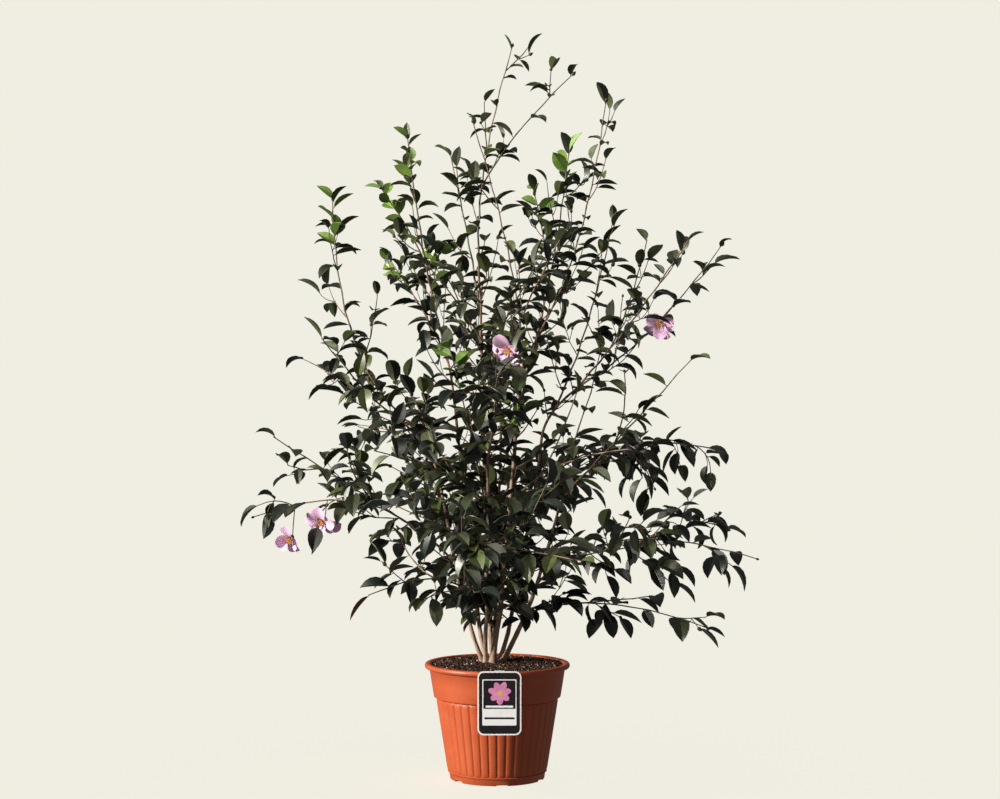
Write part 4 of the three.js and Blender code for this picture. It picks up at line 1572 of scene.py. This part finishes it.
@dataclass
class Soil:
    """The potting soil: a crumbly body, with crumbs, chips and pale grains lying on it."""

    pot: Pot
    edge: float = 0.1872
    middle: float = 0.1895
    level_radius: float = 0.055
    clearance: float = 0.0006
    floor_gap: float = 0.0003
    rings: int = 26
    sides: int = 120
    clod: float = 0.009
    clod_height: float = 0.0065
    clod_middle: float = 0.55
    clod_margin: float = 0.001
    clod_reach: float = 0.0072
    bare_radius: float = 0.02
    margin: float = 0.004
    raised: float = 0.0004
    tilt: float = 0.35
    least_size: float = 0.55
    more_size: float = 0.9
    seed: int = 4711

    @property
    def reach(self) -> float:
        """Returns the radius of the soil's edge."""
        return self.pot.inner(self.edge) - self.clearance

    def height(self, radius: float) -> float:
        """Returns the level of the soil at a distance from the pot's axis."""
        share = (radius - self.level_radius) / (self.pot.inner(self.edge) - self.level_radius)
        return lerp(self.middle, self.edge, clamp(share, 0, 1))

    def body(self) -> Piece:
        """Builds the body, with clods on its top.

        Returns:
            The body.
        """
        floor = self.pot.floor + self.floor_gap
        walls = [(self.pot.inner(z) - self.clearance, z) for z in (floor, self.pot.band_z)]
        outline = [(self.pot.hub, floor), *walls]
        for ring in range(self.rings):
            radius = lerp(self.reach, self.pot.hub, ring / (self.rings - 1))
            outline.append((radius, self.height(radius)))
        body = Bench.turned("soil_body", outline, self.sides)
        clods = bpy.data.textures.new("clods", "CLOUDS")
        clods.noise_scale = self.clod
        rim, low = self.reach - self.clod_margin, self.edge - self.clod_reach
        top = [v.index for v in body.data.vertices if v.co.z > low and math.hypot(v.co.x, v.co.y) < rim]
        body.vertex_groups.new(name="surface").add(top, 1.0, "REPLACE")
        Bench.modify(body, "DISPLACE", texture=clods, texture_coords="LOCAL", direction="Z",
                     strength=self.clod_height, mid_level=self.clod_middle, vertex_group="surface")
        return body

    def build(self) -> None:
        """Builds and dresses the body and what lies on it."""
        random = Seeded(self.seed)
        materials = {finish: finish.material() for finish in (DAMP, PALE, CHIPPED)}
        body = self.body()
        dress(body, "soil", materials[DAMP], smooth=60)
        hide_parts("potting_soil")
        crumb = self.crumb()
        for lot in LOOSE:
            matrices = []
            for _ in range(lot.count):
                radius = (self.reach - self.margin) * math.sqrt(random.next())
                turn = 2 * math.pi * random.next()
                x, y = radius * math.cos(turn), radius * math.sin(turn)
                if math.hypot(x - CROWN.x, y - CROWN.y) < self.bare_radius:
                    continue
                along = Vector((random.spread(), random.spread(), self.tilt * random.spread())).normalized()
                grown = lot.size * (self.least_size + self.more_size * random.next() ** 2)
                place = Vector((x, y, self.height(radius) + self.raised))
                matrices.append(setting(place, along, square_to(along), tuple(grown * k for k in lot.shape)))
            dress(copies(lot.name, [(crumb, matrices)]), "soil", materials[lot.finish], smooth=50)

    @staticmethod
    def crumb() -> Template:
        """Models one crumb of unit radius: a ball with four of its sides pushed in.

        Returns:
            The template.
        """
        Bench.clear()
        bpy.ops.mesh.primitive_ico_sphere_add(subdivisions=2, radius=1)
        piece = Bench.named("crumb")
        Bench.edit()
        sides = ((1, 0.2, 0.3), (-0.5, 0.8, 0.1), (0.1, -0.9, 0.5), (-0.4, -0.3, -0.9))
        for number, side in enumerate(sides):
            way = Vector(side).normalized()
            if Bench.pick(lambda co: co.dot(way) > 0.72):
                Bench.move(*(way * (-0.16 - 0.04 * number)))
        Bench.leave()
        return Template.of(piece)


# The label


@dataclass(frozen=True)
class Plate:
    """A flat part of the label: its tone, sizes, corners (none on an oval), place on the card, and level."""

    tone: str
    width: float
    height: float
    corner: float = 0.0
    x: float = 0.0
    z: float = 0.0
    level: float = 0.0
    turn: float = 0.0


CARD = Plate("card", 0.070, 0.102, corner=0.010)
PRINT = (
    Plate("dark", 0.0652, 0.0972, corner=0.0078),
    Plate("pale", 0.0545, 0.0735, corner=0.0016, z=0.0014, level=1),
    Plate("dark", 0.0511, 0.0452, corner=0.0010, z=0.0139, level=2),
    Plate("dark", 0.0480, 0.0030, corner=0.0008, z=-0.0238, level=2),
    Plate("pale", 0.0440, 0.0032, corner=0.0010, z=-0.0052, level=3),
)
INKS = {
    "dark": (colour(0.016, 0.012, 0.014), colour(0.010, 0.008, 0.010), 60),
    "pale": (colour(0.92, 0.92, 0.94), colour(0.88, 0.88, 0.90), 60),
    "pink": (colour(0.74, 0.30, 0.52), colour(0.62, 0.20, 0.42), 160),
    "yellow": (colour(0.80, 0.50, 0.09), colour(0.70, 0.38, 0.06), 300),
}


@dataclass
class Label:
    """The plant label: a rounded card on a strap that hooks over the rim, with a plain generic print."""

    pot: Pot
    thickness: float = 0.0009
    ink: float = 0.00015
    x: float = 0.0035
    top: float = 0.192
    strap_width: float = 0.016
    gap: float = 0.0003
    strap_gap: float = 0.0004
    flower_x: float = 0.0010
    flower_z: float = 0.0165
    petals: int = 7
    petal: tuple[float, float] = (0.0170, 0.0105)
    petal_out: float = 0.0095
    petal_step: float = 0.0012
    first_petal: float = 12
    eye: tuple[float, float] = (0.0085, 0.0080)

    @property
    def back(self) -> float:
        """Returns the depth of the card's back."""
        return -(self.pot.rim_radius + self.gap)

    def plate(self, name: str, plate: Plate, depth: float, thick: float) -> Piece:
        """Builds a thin upright plate, with rounded corners or as an oval.

        Args:
            name: its name.
            plate: its sizes and place.
            depth: the Y of its back face.
            thick: how far it stands out.

        Returns:
            The plate.
        """
        Bench.clear()
        where = {"location": (self.x + plate.x, depth, self.top - CARD.height / 2 + plate.z),
                 "rotation": (math.pi / 2, math.radians(plate.turn), 0)}
        if plate.corner:
            bpy.ops.mesh.primitive_plane_add(size=1, **where)
        else:
            bpy.ops.mesh.primitive_circle_add(vertices=20, radius=0.5, fill_type="NGON", **where)
        piece = Bench.named(name, (plate.width, plate.height, 1))
        Bench.edit(everything=True)
        if plate.corner:
            bpy.ops.mesh.bevel(offset=plate.corner, segments=7, affect="VERTICES", offset_type="OFFSET")
            bpy.ops.mesh.select_all(action="SELECT")
        bpy.ops.mesh.extrude_region_move(TRANSFORM_OT_translate={"value": (0.0, -thick, 0.0)})
        Bench.outward()
        Bench.leave()
        return piece

    def strap(self) -> Piece:
        """Builds the strap as a strip extruded over the rim and down inside it, then thickened.

        Returns:
            The strap.
        """
        Bench.clear()
        under = self.pot.height + self.strap_gap
        inner = -(self.pot.inner(self.pot.height - 0.006) - 0.003)
        mid = self.back - self.thickness / 2
        bpy.ops.mesh.primitive_plane_add(size=1, location=(self.x, mid, under - 0.004),
                                         rotation=(math.pi / 2, 0, 0))
        piece = Bench.named("label_strap", (self.strap_width, 0.006, 1))
        Bench.edit()
        Bench.pick(lambda co: abs(co.z - (under - 0.001)) < NEARLY)
        for y, z in ((0.0004, 0.0012), (0.0012, 0.0003), (inner - mid - 0.0032, 0.0), (0.0012, -0.0003),
                     (0.0004, -0.0012), (0.0, -0.0050)):
            bpy.ops.mesh.extrude_edges_move(TRANSFORM_OT_translate={"value": (0.0, y, z)})
        Bench.leave()
        Bench.modify(piece, "SOLIDIFY", thickness=self.thickness, offset=0)
        Bench.edit()
        Bench.outward()
        Bench.leave()
        return piece

    def flower(self) -> list[Plate]:
        """Sets out the print's plain open flower: petals, each a little over the last, and an eye.

        Returns:
            Its plates.
        """
        plates = []
        for number in range(self.petals):
            turn = 360 / self.petals * number + self.first_petal
            away = self.petal_out + self.petal_step * (number % 2)
            x = self.flower_x + away * math.cos(math.radians(turn))
            z = self.flower_z + away * math.sin(math.radians(turn))
            plates.append(Plate("pink", *self.petal, x=x, z=z, level=3 + 0.15 * number, turn=-turn))
        return [*plates, Plate("yellow", *self.eye, x=self.flower_x, z=self.flower_z, level=4.5)]

    def build(self) -> None:
        """Builds and dresses the card, its strap and its print."""
        front = self.plate("label_card", CARD, self.back, self.thickness)
        card = Bench.join("label_card", [front, self.strap()])
        white = Finish("card_white", colour(0.93, 0.93, 0.94), colour(0.90, 0.90, 0.91), 30, 0.36, grain=2500,
                       relief=0.00003)
        dress(card, "label", white.material(), smooth=35)
        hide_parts("plant_label")
        layers: dict[str, list[Piece]] = {tone: [] for tone in INKS}
        for number, plate in enumerate((*PRINT, *self.flower())):
            depth = self.back - self.thickness - self.ink * plate.level
            layers[plate.tone].append(self.plate(f"print_{number}", plate, depth, self.ink))
        for tone, plates in layers.items():
            ink = Finish(f"print_{tone}", *INKS[tone], 0.3, relief=0.00002)
            dress(Bench.join(f"label_print_{tone}", plates), "label", ink.material(), smooth=35)


# The wood


BARKS = {
    "stems_bark": Finish("pale_bark", colour(0.56, 0.40, 0.30), colour(0.30, 0.19, 0.13), 70, 0.72,
                         fine=0.45, grain=1500, relief=0.0004, stretch=(1, 1, 0.3), specular=0.3),
    "boughs_bark": Finish("bough_bark", colour(0.40, 0.26, 0.19), colour(0.19, 0.11, 0.075), 90, 0.7,
                          fine=0.45, grain=1700, relief=0.0003, stretch=(1, 1, 0.4), specular=0.3),
    "leading_shoots": Finish("shoot_bark", colour(0.27, 0.190, 0.140), colour(0.13, 0.085, 0.060), 120, 0.6,
                             grain=1900, relief=0.0002, specular=0.35),
    "side_twigs": Finish("twig_bark", colour(0.17, 0.120, 0.080), colour(0.075, 0.054, 0.036), 150, 0.55,
                         grain=1900, relief=0.0002, specular=0.35),
}


@dataclass
class Wood:
    """The root crown, stems, boughs, shoots and twigs."""

    growth: Growth
    relief: float = 0.0006
    sunk: float = 0.002
    hollow: float = 0.16
    buttress: float = 20
    buttress_top: float = 0.008
    facet: int = 10

    def crown(self) -> Piece:
        """Builds the low root crown, with a buttress towards each outer stem.

        Returns:
            The crown.
        """
        rows = ((0.003, -self.sunk), (CROWN.radius, -self.sunk), (CROWN.radius - 0.001, 0.0012),
                (0.0205, 0.0030), (0.0175, 0.0052), (0.0145, 0.0075), (0.0100, 0.0092), (0.003, CROWN.height))
        outline = [(radius, CROWN.soil + rise) for radius, rise in rows]
        crown = Bench.turned("root_crown_bark", outline, 64, (CROWN.x, CROWN.y, 0))
        feet = [size.foot for size in STEMS if size.ring]
        Bench.edit()
        for heading in range(0, 360, self.facet):
            near = min(abs((heading - foot + 180) % 360 - 180) for foot in feet)
            share = 1 - self.hollow * clamp(near / self.buttress, 0, 1)
            turn = math.radians(heading)
            if share < 1 and Bench.pick(lambda co: self.on_side(co, turn)):
                Bench.scale(share, share, 1.0, (CROWN.x, CROWN.y, CROWN.soil))
        Bench.leave()
        return crown

    def on_side(self, place: Vector, turn: float) -> bool:
        """Says whether a place lies low on the crown's side at a bearing in radians."""
        off = (math.atan2(place.y - CROWN.y, place.x - CROWN.x) - turn + math.pi) % (2 * math.pi) - math.pi
        return abs(off) <= math.radians(self.facet / 2) and place.z < CROWN.soil + self.buttress_top

    @staticmethod
    def raise_bark(piece: Piece, lump: float, height: float) -> None:
        """Raises the bark's relief on a piece.

        Args:
            piece: the piece.
            lump: the size of its lumps.
            height: how far they stand out.
        """
        bark = bpy.data.textures.new(f"{piece.name}_relief", "CLOUDS")
        bark.noise_scale = lump
        bark.noise_depth = 3
        Bench.modify(piece, "DISPLACE", texture=bark, texture_coords="LOCAL", strength=height, mid_level=0.5)

    def build(self) -> None:
        """Builds and dresses all the wood."""
        grow = self.growth
        stems = [stem.line(step=0.0035, knuckle=0.10, flare=0.5) for stem in grow.stems.values()]
        trunk = Bench.join("stems_bark", [Bench.bent("stems", stems, depth=4), self.crown()])
        self.raise_bark(trunk, lump=0.006, height=self.relief)
        limbs = [bough.line(step=0.0035, knuckle=0.14) for bough in grow.boughs.values()]
        boughs = Bench.bent("boughs_bark", limbs, depth=3)
        self.raise_bark(boughs, lump=0.004, height=self.relief * 0.7)
        leaders = [shoot.line(step=0.008, knuckle=0.22) for shoot in grow.shoots]
        shoots = Bench.bent("leading_shoots", leaders, depth=1)
        finer = [twig.line(step=0.011, knuckle=0.25) for twig in grow.twigs]
        twigs = Bench.bent("side_twigs", finer, depth=0)
        for piece, smooth in ((trunk, 50), (boughs, 50), (shoots, 60), (twigs, 80)):
            dress(piece, "bark", BARKS[piece.name].material(), smooth=smooth)
        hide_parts("root_crown", *grow.stems)
        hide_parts(*grow.boughs)
        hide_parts(*(f"foliage_{size.name}" for size in MASSES))


# Leaves and buds


LEAF_ROWS = ((0.0, 0.035), (0.10, 0.045), (0.17, 0.24), (0.30, 0.43), (0.47, 0.5), (0.64, 0.455),
             (0.80, 0.31), (0.92, 0.12), (1.0, 0.0))
PETAL_ROWS = ((0.0, 0.09), (0.2, 0.22), (0.45, 0.42), (0.7, 0.5), (0.88, 0.42), (1.0, 0.2))


@dataclass
class BladeShape:
    """A leaf or petal blade of unit length and width, shaped from a grid row by row.

    Each row is a share of the length with half of the width there. The blade bends up to the share in rise
    and down beyond it, and its sides fold up.
    """

    rows: Sequence[tuple[float, float]]
    bend: float
    fold: float
    thickness: float
    rise: float = 0.42
    cells_across: int = 2

    def build(self, name: str) -> Template:
        """Models the blade.

        Args:
            name: its name.

        Returns:
            The template, whose second finish is its underside.
        """
        steps = len(self.rows) - 1
        Bench.clear()
        bpy.ops.mesh.primitive_grid_add(x_subdivisions=steps, y_subdivisions=self.cells_across, size=1,
                                        calc_uvs=True)
        piece = Bench.named(name)
        places = np.array([vertex.co for vertex in piece.data.vertices])
        numbers = np.rint((places[:, 0] + 0.5) * steps).astype(int)
        Bench.edit()
        x = z = last = 0.0
        for row, (share, half) in enumerate(self.rows):
            ring = np.flatnonzero(numbers == row)
            angle = math.radians(self.bend * (self.rise - (share + last) / 2))
            x += (share - last) * math.cos(angle)
            z += (share - last) * math.sin(angle)
            last = share
            centre = (places[ring[0], 0], 0.0, 0.0)
            Bench.pick_numbers(ring.tolist())
            Bench.scale(1.0, 2 * half, 1.0, centre)
            for side in np.unique(np.abs(places[ring, 1])):
                Bench.pick_numbers([int(n) for n in ring if abs(abs(places[n, 1]) - side) < NEARLY])
                Bench.move(z=self.fold * 2 * half * side)
            Bench.pick_numbers(ring.tolist())
            Bench.turn(-self.bend * (self.rise - share), centre)
            Bench.move(x - centre[0], 0.0, z)
        bpy.ops.mesh.select_all(action="SELECT")
        bpy.ops.mesh.remove_doubles(threshold=NEARLY)
        Bench.leave()
        for _ in range(2):
            piece.data.materials.append(None)
        Bench.modify(piece, "SOLIDIFY", thickness=self.thickness, offset=0, material_offset=1,
                     material_offset_rim=0)
        return Template.of(piece)


# The fresh tint's lighter olive partly stands for painted light, and the dark tint's near black partly for
# painted shade.
TONES = {
    Tint.DEEP: (colour(0.046, 0.056, 0.022), colour(0.022, 0.028, 0.011), colour(0.088, 0.096, 0.042)),
    Tint.DARK: (colour(0.012, 0.021, 0.012), colour(0.005, 0.010, 0.006), colour(0.034, 0.044, 0.025)),
    Tint.FRESH_WITH_PAINTED_LIGHT: (colour(0.092, 0.118, 0.036), colour(0.054, 0.073, 0.020), colour(0.150, 0.166, 0.064)),
    Tint.YOUNG: (colour(0.200, 0.330, 0.050), colour(0.110, 0.220, 0.030), colour(0.300, 0.400, 0.110)),
}
BUD_SCALES = Finish("bud_scales", colour(0.075, 0.085, 0.030), colour(0.040, 0.040, 0.018), 200, 0.5,
                    grain=1500)


@dataclass
class Foliage:
    """All the leaves, dealt out by tint into joined meshes, and the buds."""

    growth: Growth
    fold: float = 0.24
    thickness: float = 0.014
    bud_length: float = 0.0075
    bud_width: float = 0.9
    under_dark: float = 0.8

    def materials(self, tint: Tint) -> list[Material]:
        """Builds a tint's materials.

        Args:
            tint: the tint.

        Returns:
            The material of the upper side and that of the underside.
        """
        light, dark, under = TONES[tint]
        shade = colour(*(self.under_dark * part for part in under[:3]))
        name = f"leaf_{tint.value}"
        top = BladeFinish(name, light, dark, 45, 0.40, rough_spread=0.05, grain=140, pits=0.0, relief=0.00004,
                          specular=0.65, coat=0.12, coat_roughness=0.42, rib=under, rib_share=0.6)
        back = BladeFinish(f"{name}_under", under, shade, 45, 0.5, grain=140, pits=0.0, relief=0.00004,
                           specular=0.35, rib=light, rib_share=0.2)
        return [top.material(), back.material()]

    def build(self) -> None:
        """Builds and dresses the leaves and the buds."""
        shapes = {curl: BladeShape(LEAF_ROWS, curl.value, self.fold, self.thickness).build("leaf")
                  for curl in Curl}
        for tint in Tint:
            lots = []
            for curl, shape in shapes.items():
                blades = [b for b in self.growth.blades if b.tint is tint and b.curl is curl]
                lots.append((shape, [setting(b.root, b.direction, b.normal, (b.length, b.width, b.length))
                                     for b in blades]))
            dress(copies(f"leaves_{tint.value}", lots), "foliage", *self.materials(tint), smooth=38)
        self.buds()

    def buds(self) -> None:
        """Builds and dresses the pointed buds at the shoots' tips."""
        outline = [(0.10, 0.0), (0.30, 0.12), (0.42, 0.36), (0.34, 0.62), (0.16, 0.86), (0.05, 1.0)]
        template = Template.of(Bench.turned("bud", outline, 8))
        matrices = []
        for place, way, size in self.growth.buds:
            length = self.bud_length * size
            width = self.bud_width * length
            matrices.append(setting(place, square_to(way), way, (width, width, length)))
        dress(copies("buds", [(template, matrices)]), "foliage", BUD_SCALES.material(), smooth=50)


# Blooms


PETAL_PINK = BladeFinish("petal_pink", colour(0.96, 0.66, 0.91), colour(0.92, 0.52, 0.85), 60, 0.5, grain=250,
                         pits=0.0, relief=0.0, rib=colour(0.70, 0.36, 0.58), rib_share=0.35, pairs=3,
                         rib_width=0.03, specular=0.25, through=0.2)
PETAL_BACK = replace(PETAL_PINK, name="petal_back", light=colour(0.95, 0.64, 0.90),
                     dark=colour(0.91, 0.50, 0.84), roughness=0.55)
STAMEN_YELLOW = Finish("stamen_yellow", colour(0.78, 0.52, 0.10), colour(0.62, 0.36, 0.06), 400, 0.6)
CALYX_GREEN = Finish("calyx_green", colour(0.12, 0.11, 0.040), colour(0.065, 0.055, 0.024), 300, 0.55)


@dataclass
class Blooms:
    """The drooping single flowers on short stalks: loose petals, a tuft of stamens and a calyx each."""

    growth: Growth
    petals: int = 7
    size: float = 0.031
    size_share: float = 0.98
    size_spread: float = 0.16
    width: float = 0.78
    bends: tuple[float, ...] = (40, -35, 85)
    fold: float = 0.26
    thickness: float = 0.012
    droop: float = 0.34
    lean: float = 0.42
    lean_spread: float = 0.30
    turn_spread: float = 16
    roll_spread: float = 24
    overlap: float = 0.0012
    stamens: int = 30
    stamen_length: float = 0.0135
    stamen_spread: float = 0.5
    cup_size: float = 0.0085
    cup_sunk: float = 0.001
    nod: float = 0.35
    stalk_radius: float = 0.0009
    stalk_short: float = 0.004
    stalk_bend: float = 0.45
    stalk_rise: Place = (0.0, -0.004, 0.006)
    seed: int = 909

    def petal_settings(self, centre: Vector, facing: Vector, random: Seeded) -> list[tuple[int, np.ndarray]]:
        """Sets the petals of one bloom round its centre.

        Args:
            centre: its centre.
            facing: the way that it faces.
            random: the source of numbers.

        Returns:
            For each petal, the number of its shape and the matrix that sets it.
        """
        settings = []
        for number in range(self.petals):
            turn = 360 / self.petals * number + self.turn_spread * random.spread()
            out = turned_about(square_to(facing), facing, turn)
            lean = self.lean + self.lean_spread * random.spread()
            along = (out + facing * lean - UP * self.droop * (0.5 + random.next())).normalized()
            up = turned_about(squared(facing, along), along, self.roll_spread * random.spread())
            grown = self.size * (self.size_share + self.size_spread * random.spread())
            place = centre - facing * (self.overlap * (number % 2))
            shape = int(len(self.bends) * random.next())
            settings.append((shape, setting(place, along, up, (grown, grown * self.width, grown))))
        return settings

    def stamen_settings(self, centre: Vector, facing: Vector) -> list[np.ndarray]:
        """Sets the stamens of one bloom as a tuft that spreads from its centre.

        Args:
            centre: the bloom's centre.
            facing: the way that it faces.

        Returns:
            The matrix of each stamen.
        """
        settings = []
        for number in range(self.stamens):
            out = turned_about(square_to(facing), facing, GOLDEN_TURN * number)
            spread = self.stamen_spread * math.sqrt(number / self.stamens)
            along = (facing + out * spread).normalized()
            settings.append(setting(centre, along, square_to(along), (self.stamen_length,) * 3))
        return settings

    def build(self) -> None:
        """Builds and dresses the blooms."""
        random = Seeded(self.seed)
        blade = BladeShape(PETAL_ROWS, 0, self.fold, self.thickness, rise=0.25, cells_across=4)
        shapes = [replace(blade, bend=bend).build("petal") for bend in self.bends]
        cup_outline = [(0.12, -0.55), (0.34, -0.45), (0.52, -0.1), (0.5, 0.25), (0.38, 0.3), (0.3, 0.1)]
        cup = Template.of(Bench.turned("calyx", cup_outline, 10))
        petals: list[list[np.ndarray]] = [[] for _ in shapes]
        tufts, cups, stalks = [], [], []
        facing = (BLOOMS.way - UP * self.nod).normalized()
        for foot, centre in self.growth.blooms:
            stalks.append(self.stalk(foot, centre - facing * self.stalk_short))
            for shape, matrix in self.petal_settings(centre, facing, random):
                petals[shape].append(matrix)
            tufts.extend(self.stamen_settings(centre, facing))
            cup_foot = centre - facing * self.cup_sunk
            cups.append(setting(cup_foot, square_to(facing), facing, (self.cup_size,) * 3))
        blades = copies("bloom_petals", zip(shapes, petals))
        Bench.modify(blades, "SUBSURF", levels=1, render_levels=1)
        dress(blades, "foliage", PETAL_PINK.material(), PETAL_BACK.material(), smooth=50)
        stamens = copies("bloom_stamens", [(self.stamen(), tufts)])
        dress(stamens, "foliage", STAMEN_YELLOW.material(), smooth=50)
        dress(copies("bloom_calyces", [(cup, cups)]), "foliage", CALYX_GREEN.material(), smooth=50)
        dress(Bench.bent("bloom_stalks", stalks, depth=1), "foliage", CALYX_GREEN.material(), smooth=60)

    def stalk(self, foot: Vector, end: Vector) -> Line:
        """Sets out a stalk that leaves a shoot and hangs down to its bloom.

        Args:
            foot: where it leaves the shoot.
            end: where it meets the bloom.

        Returns:
            Its line.
        """
        over = foot.lerp(end, self.stalk_bend) + Vector(self.stalk_rise)
        places = np.array(Path(foot, over, end).steps(6))
        return Line(places, np.full(len(places), self.stalk_radius))

    @staticmethod
    def stamen() -> Template:
        """Models one stamen of unit length along X: a thread that swells to a small head.

        Returns:
            The template.
        """
        outline = [(0.012, 0.0), (0.016, 0.4), (0.014, 0.86), (0.05, 0.9), (0.055, 0.96), (0.02, 1.0)]
        piece = Bench.turned("stamen", outline, 5)
        Bench.edit(everything=True)
        Bench.turn(90)
        Bench.leave()
        return Template.of(piece)


# The studio


@dataclass(frozen=True)
class Sun:
    """A soft sun: its bearing right of the camera's side, its height and width in degrees, and its power."""

    name: str
    heading: float
    height: float
    width: float
    power: float
    tone: Place = (1.0, 0.955, 0.87)

    def build(self) -> Piece:
        """Adds the lamp.

        Returns:
            The lamp.
        """
        turn, lift = math.radians(self.heading), math.radians(self.height)
        towards = Vector((math.sin(turn) * math.cos(lift), -math.cos(turn) * math.cos(lift), math.sin(lift)))
        Bench.clear()
        bpy.ops.object.light_add(type="SUN", location=towards * 3)
        lamp = bpy.context.object
        lamp.name = self.name
        lamp.rotation_mode = "QUATERNION"
        lamp.rotation_quaternion = towards.to_track_quat("Z", "Y")
        lamp.data.energy = self.power
        lamp.data.angle = math.radians(self.width)
        lamp.data.color = self.tone
        return lamp


@dataclass
class Studio:
    """The pale floor, the soft light and the camera."""

    cream: Colour = (0.871, 0.855, 0.761, 1.0)
    sky: Colour = (1.0, 0.985, 0.95, 1.0)
    suns: tuple[Sun, ...] = (Sun("key_sun", -68, 17, 12, 6.0), Sun("top_sun", -40, 60, 30, 1.4))
    fill: float = 0.15
    floor_radius: float = 6
    floor_share: float = 0.3
    eye: Place = (0.0045, -3.25, 0.625)
    lens: float = 70.7
    sensor: float = 36

    def build(self) -> None:
        """Builds the world, the lights, the floor and the camera."""
        bpy.context.scene.view_settings.view_transform = "Standard"
        self.world()
        self.floor([sun.build() for sun in self.suns])
        self.camera()

    def world(self) -> None:
        """Makes a cream backdrop that the camera sees, and a dimmer sky that lights the shrub."""
        world = bpy.data.worlds.new("studio")
        bpy.context.scene.world = world
        world.use_nodes = True
        sheet = Sheet(world.node_tree)
        seen = sheet.node("Background", {"Color": self.cream, "Strength": 1.0})
        soft = sheet.node("Background", {"Color": self.sky, "Strength": self.fill})
        rays = sheet.node("LightPath").outputs["Is Camera Ray"]
        mixed = sheet.node("MixShader", {0: rays, 1: soft.outputs[0], 2: seen.outputs[0]})
        sheet.node("OutputWorld", {"Surface": mixed.outputs[0]})

    def floor(self, lamps: Sequence[Piece]) -> None:
        """Lays the plain pale floor, which glows enough to meet the backdrop without a line.

        Args:
            lamps: the suns, which don't light it.
        """
        Bench.clear()
        bpy.ops.mesh.primitive_circle_add(vertices=128, radius=self.floor_radius, fill_type="NGON")
        floor = Bench.named("studio_floor")
        material = bpy.data.materials.new("floor_cream")
        material.use_nodes = True
        sheet = Sheet(material.node_tree)
        shader = sheet.node("BsdfPrincipled", {
            "Base Color": colour(*(self.floor_share * part for part in self.cream[:3])), "Roughness": 0.9,
            "Specular IOR Level": 0.0, "Emission Color": self.cream,
            "Emission Strength": 1 - self.floor_share * self.fill})
        sheet.node("OutputMaterial", {"Surface": shader.outputs[0]})
        floor.data.materials.append(material)
        floor.visible_diffuse = False
        floor.visible_glossy = False
        unlit = bpy.data.collections.new("unlit_floor")
        unlit.objects.link(floor)
        unlit.collection_objects[0].light_linking.link_state = "EXCLUDE"
        for lamp in lamps:
            lamp.light_linking.receiver_collection = unlit

    def camera(self) -> None:
        """Sets the camera level in front, at the photograph's distance."""
        Bench.clear()
        bpy.ops.object.camera_add(location=self.eye, rotation=(math.pi / 2, 0, 0))
        camera = bpy.context.object
        camera.name = "studio_camera"
        camera.data.lens = self.lens
        camera.data.sensor_width = self.sensor
        camera.data.clip_start = 0.05
        bpy.context.scene.camera = camera


def main() -> None:
    """Builds the whole shrub in order."""
    logging.basicConfig(level=logging.INFO, format="%(message)s")
    Effect.build_all()
    growth = Growth()
    LOG.info("%d shoots, %d twigs, %d leaves, %d buds", len(growth.shoots), len(growth.twigs),
             len(growth.blades), len(growth.buds))
    pot = Pot()
    for part in (pot, Soil(pot), Label(pot), Wood(growth), Foliage(growth), Blooms(growth), Studio()):
        part.build()


if __name__ == "__main__":
    main()
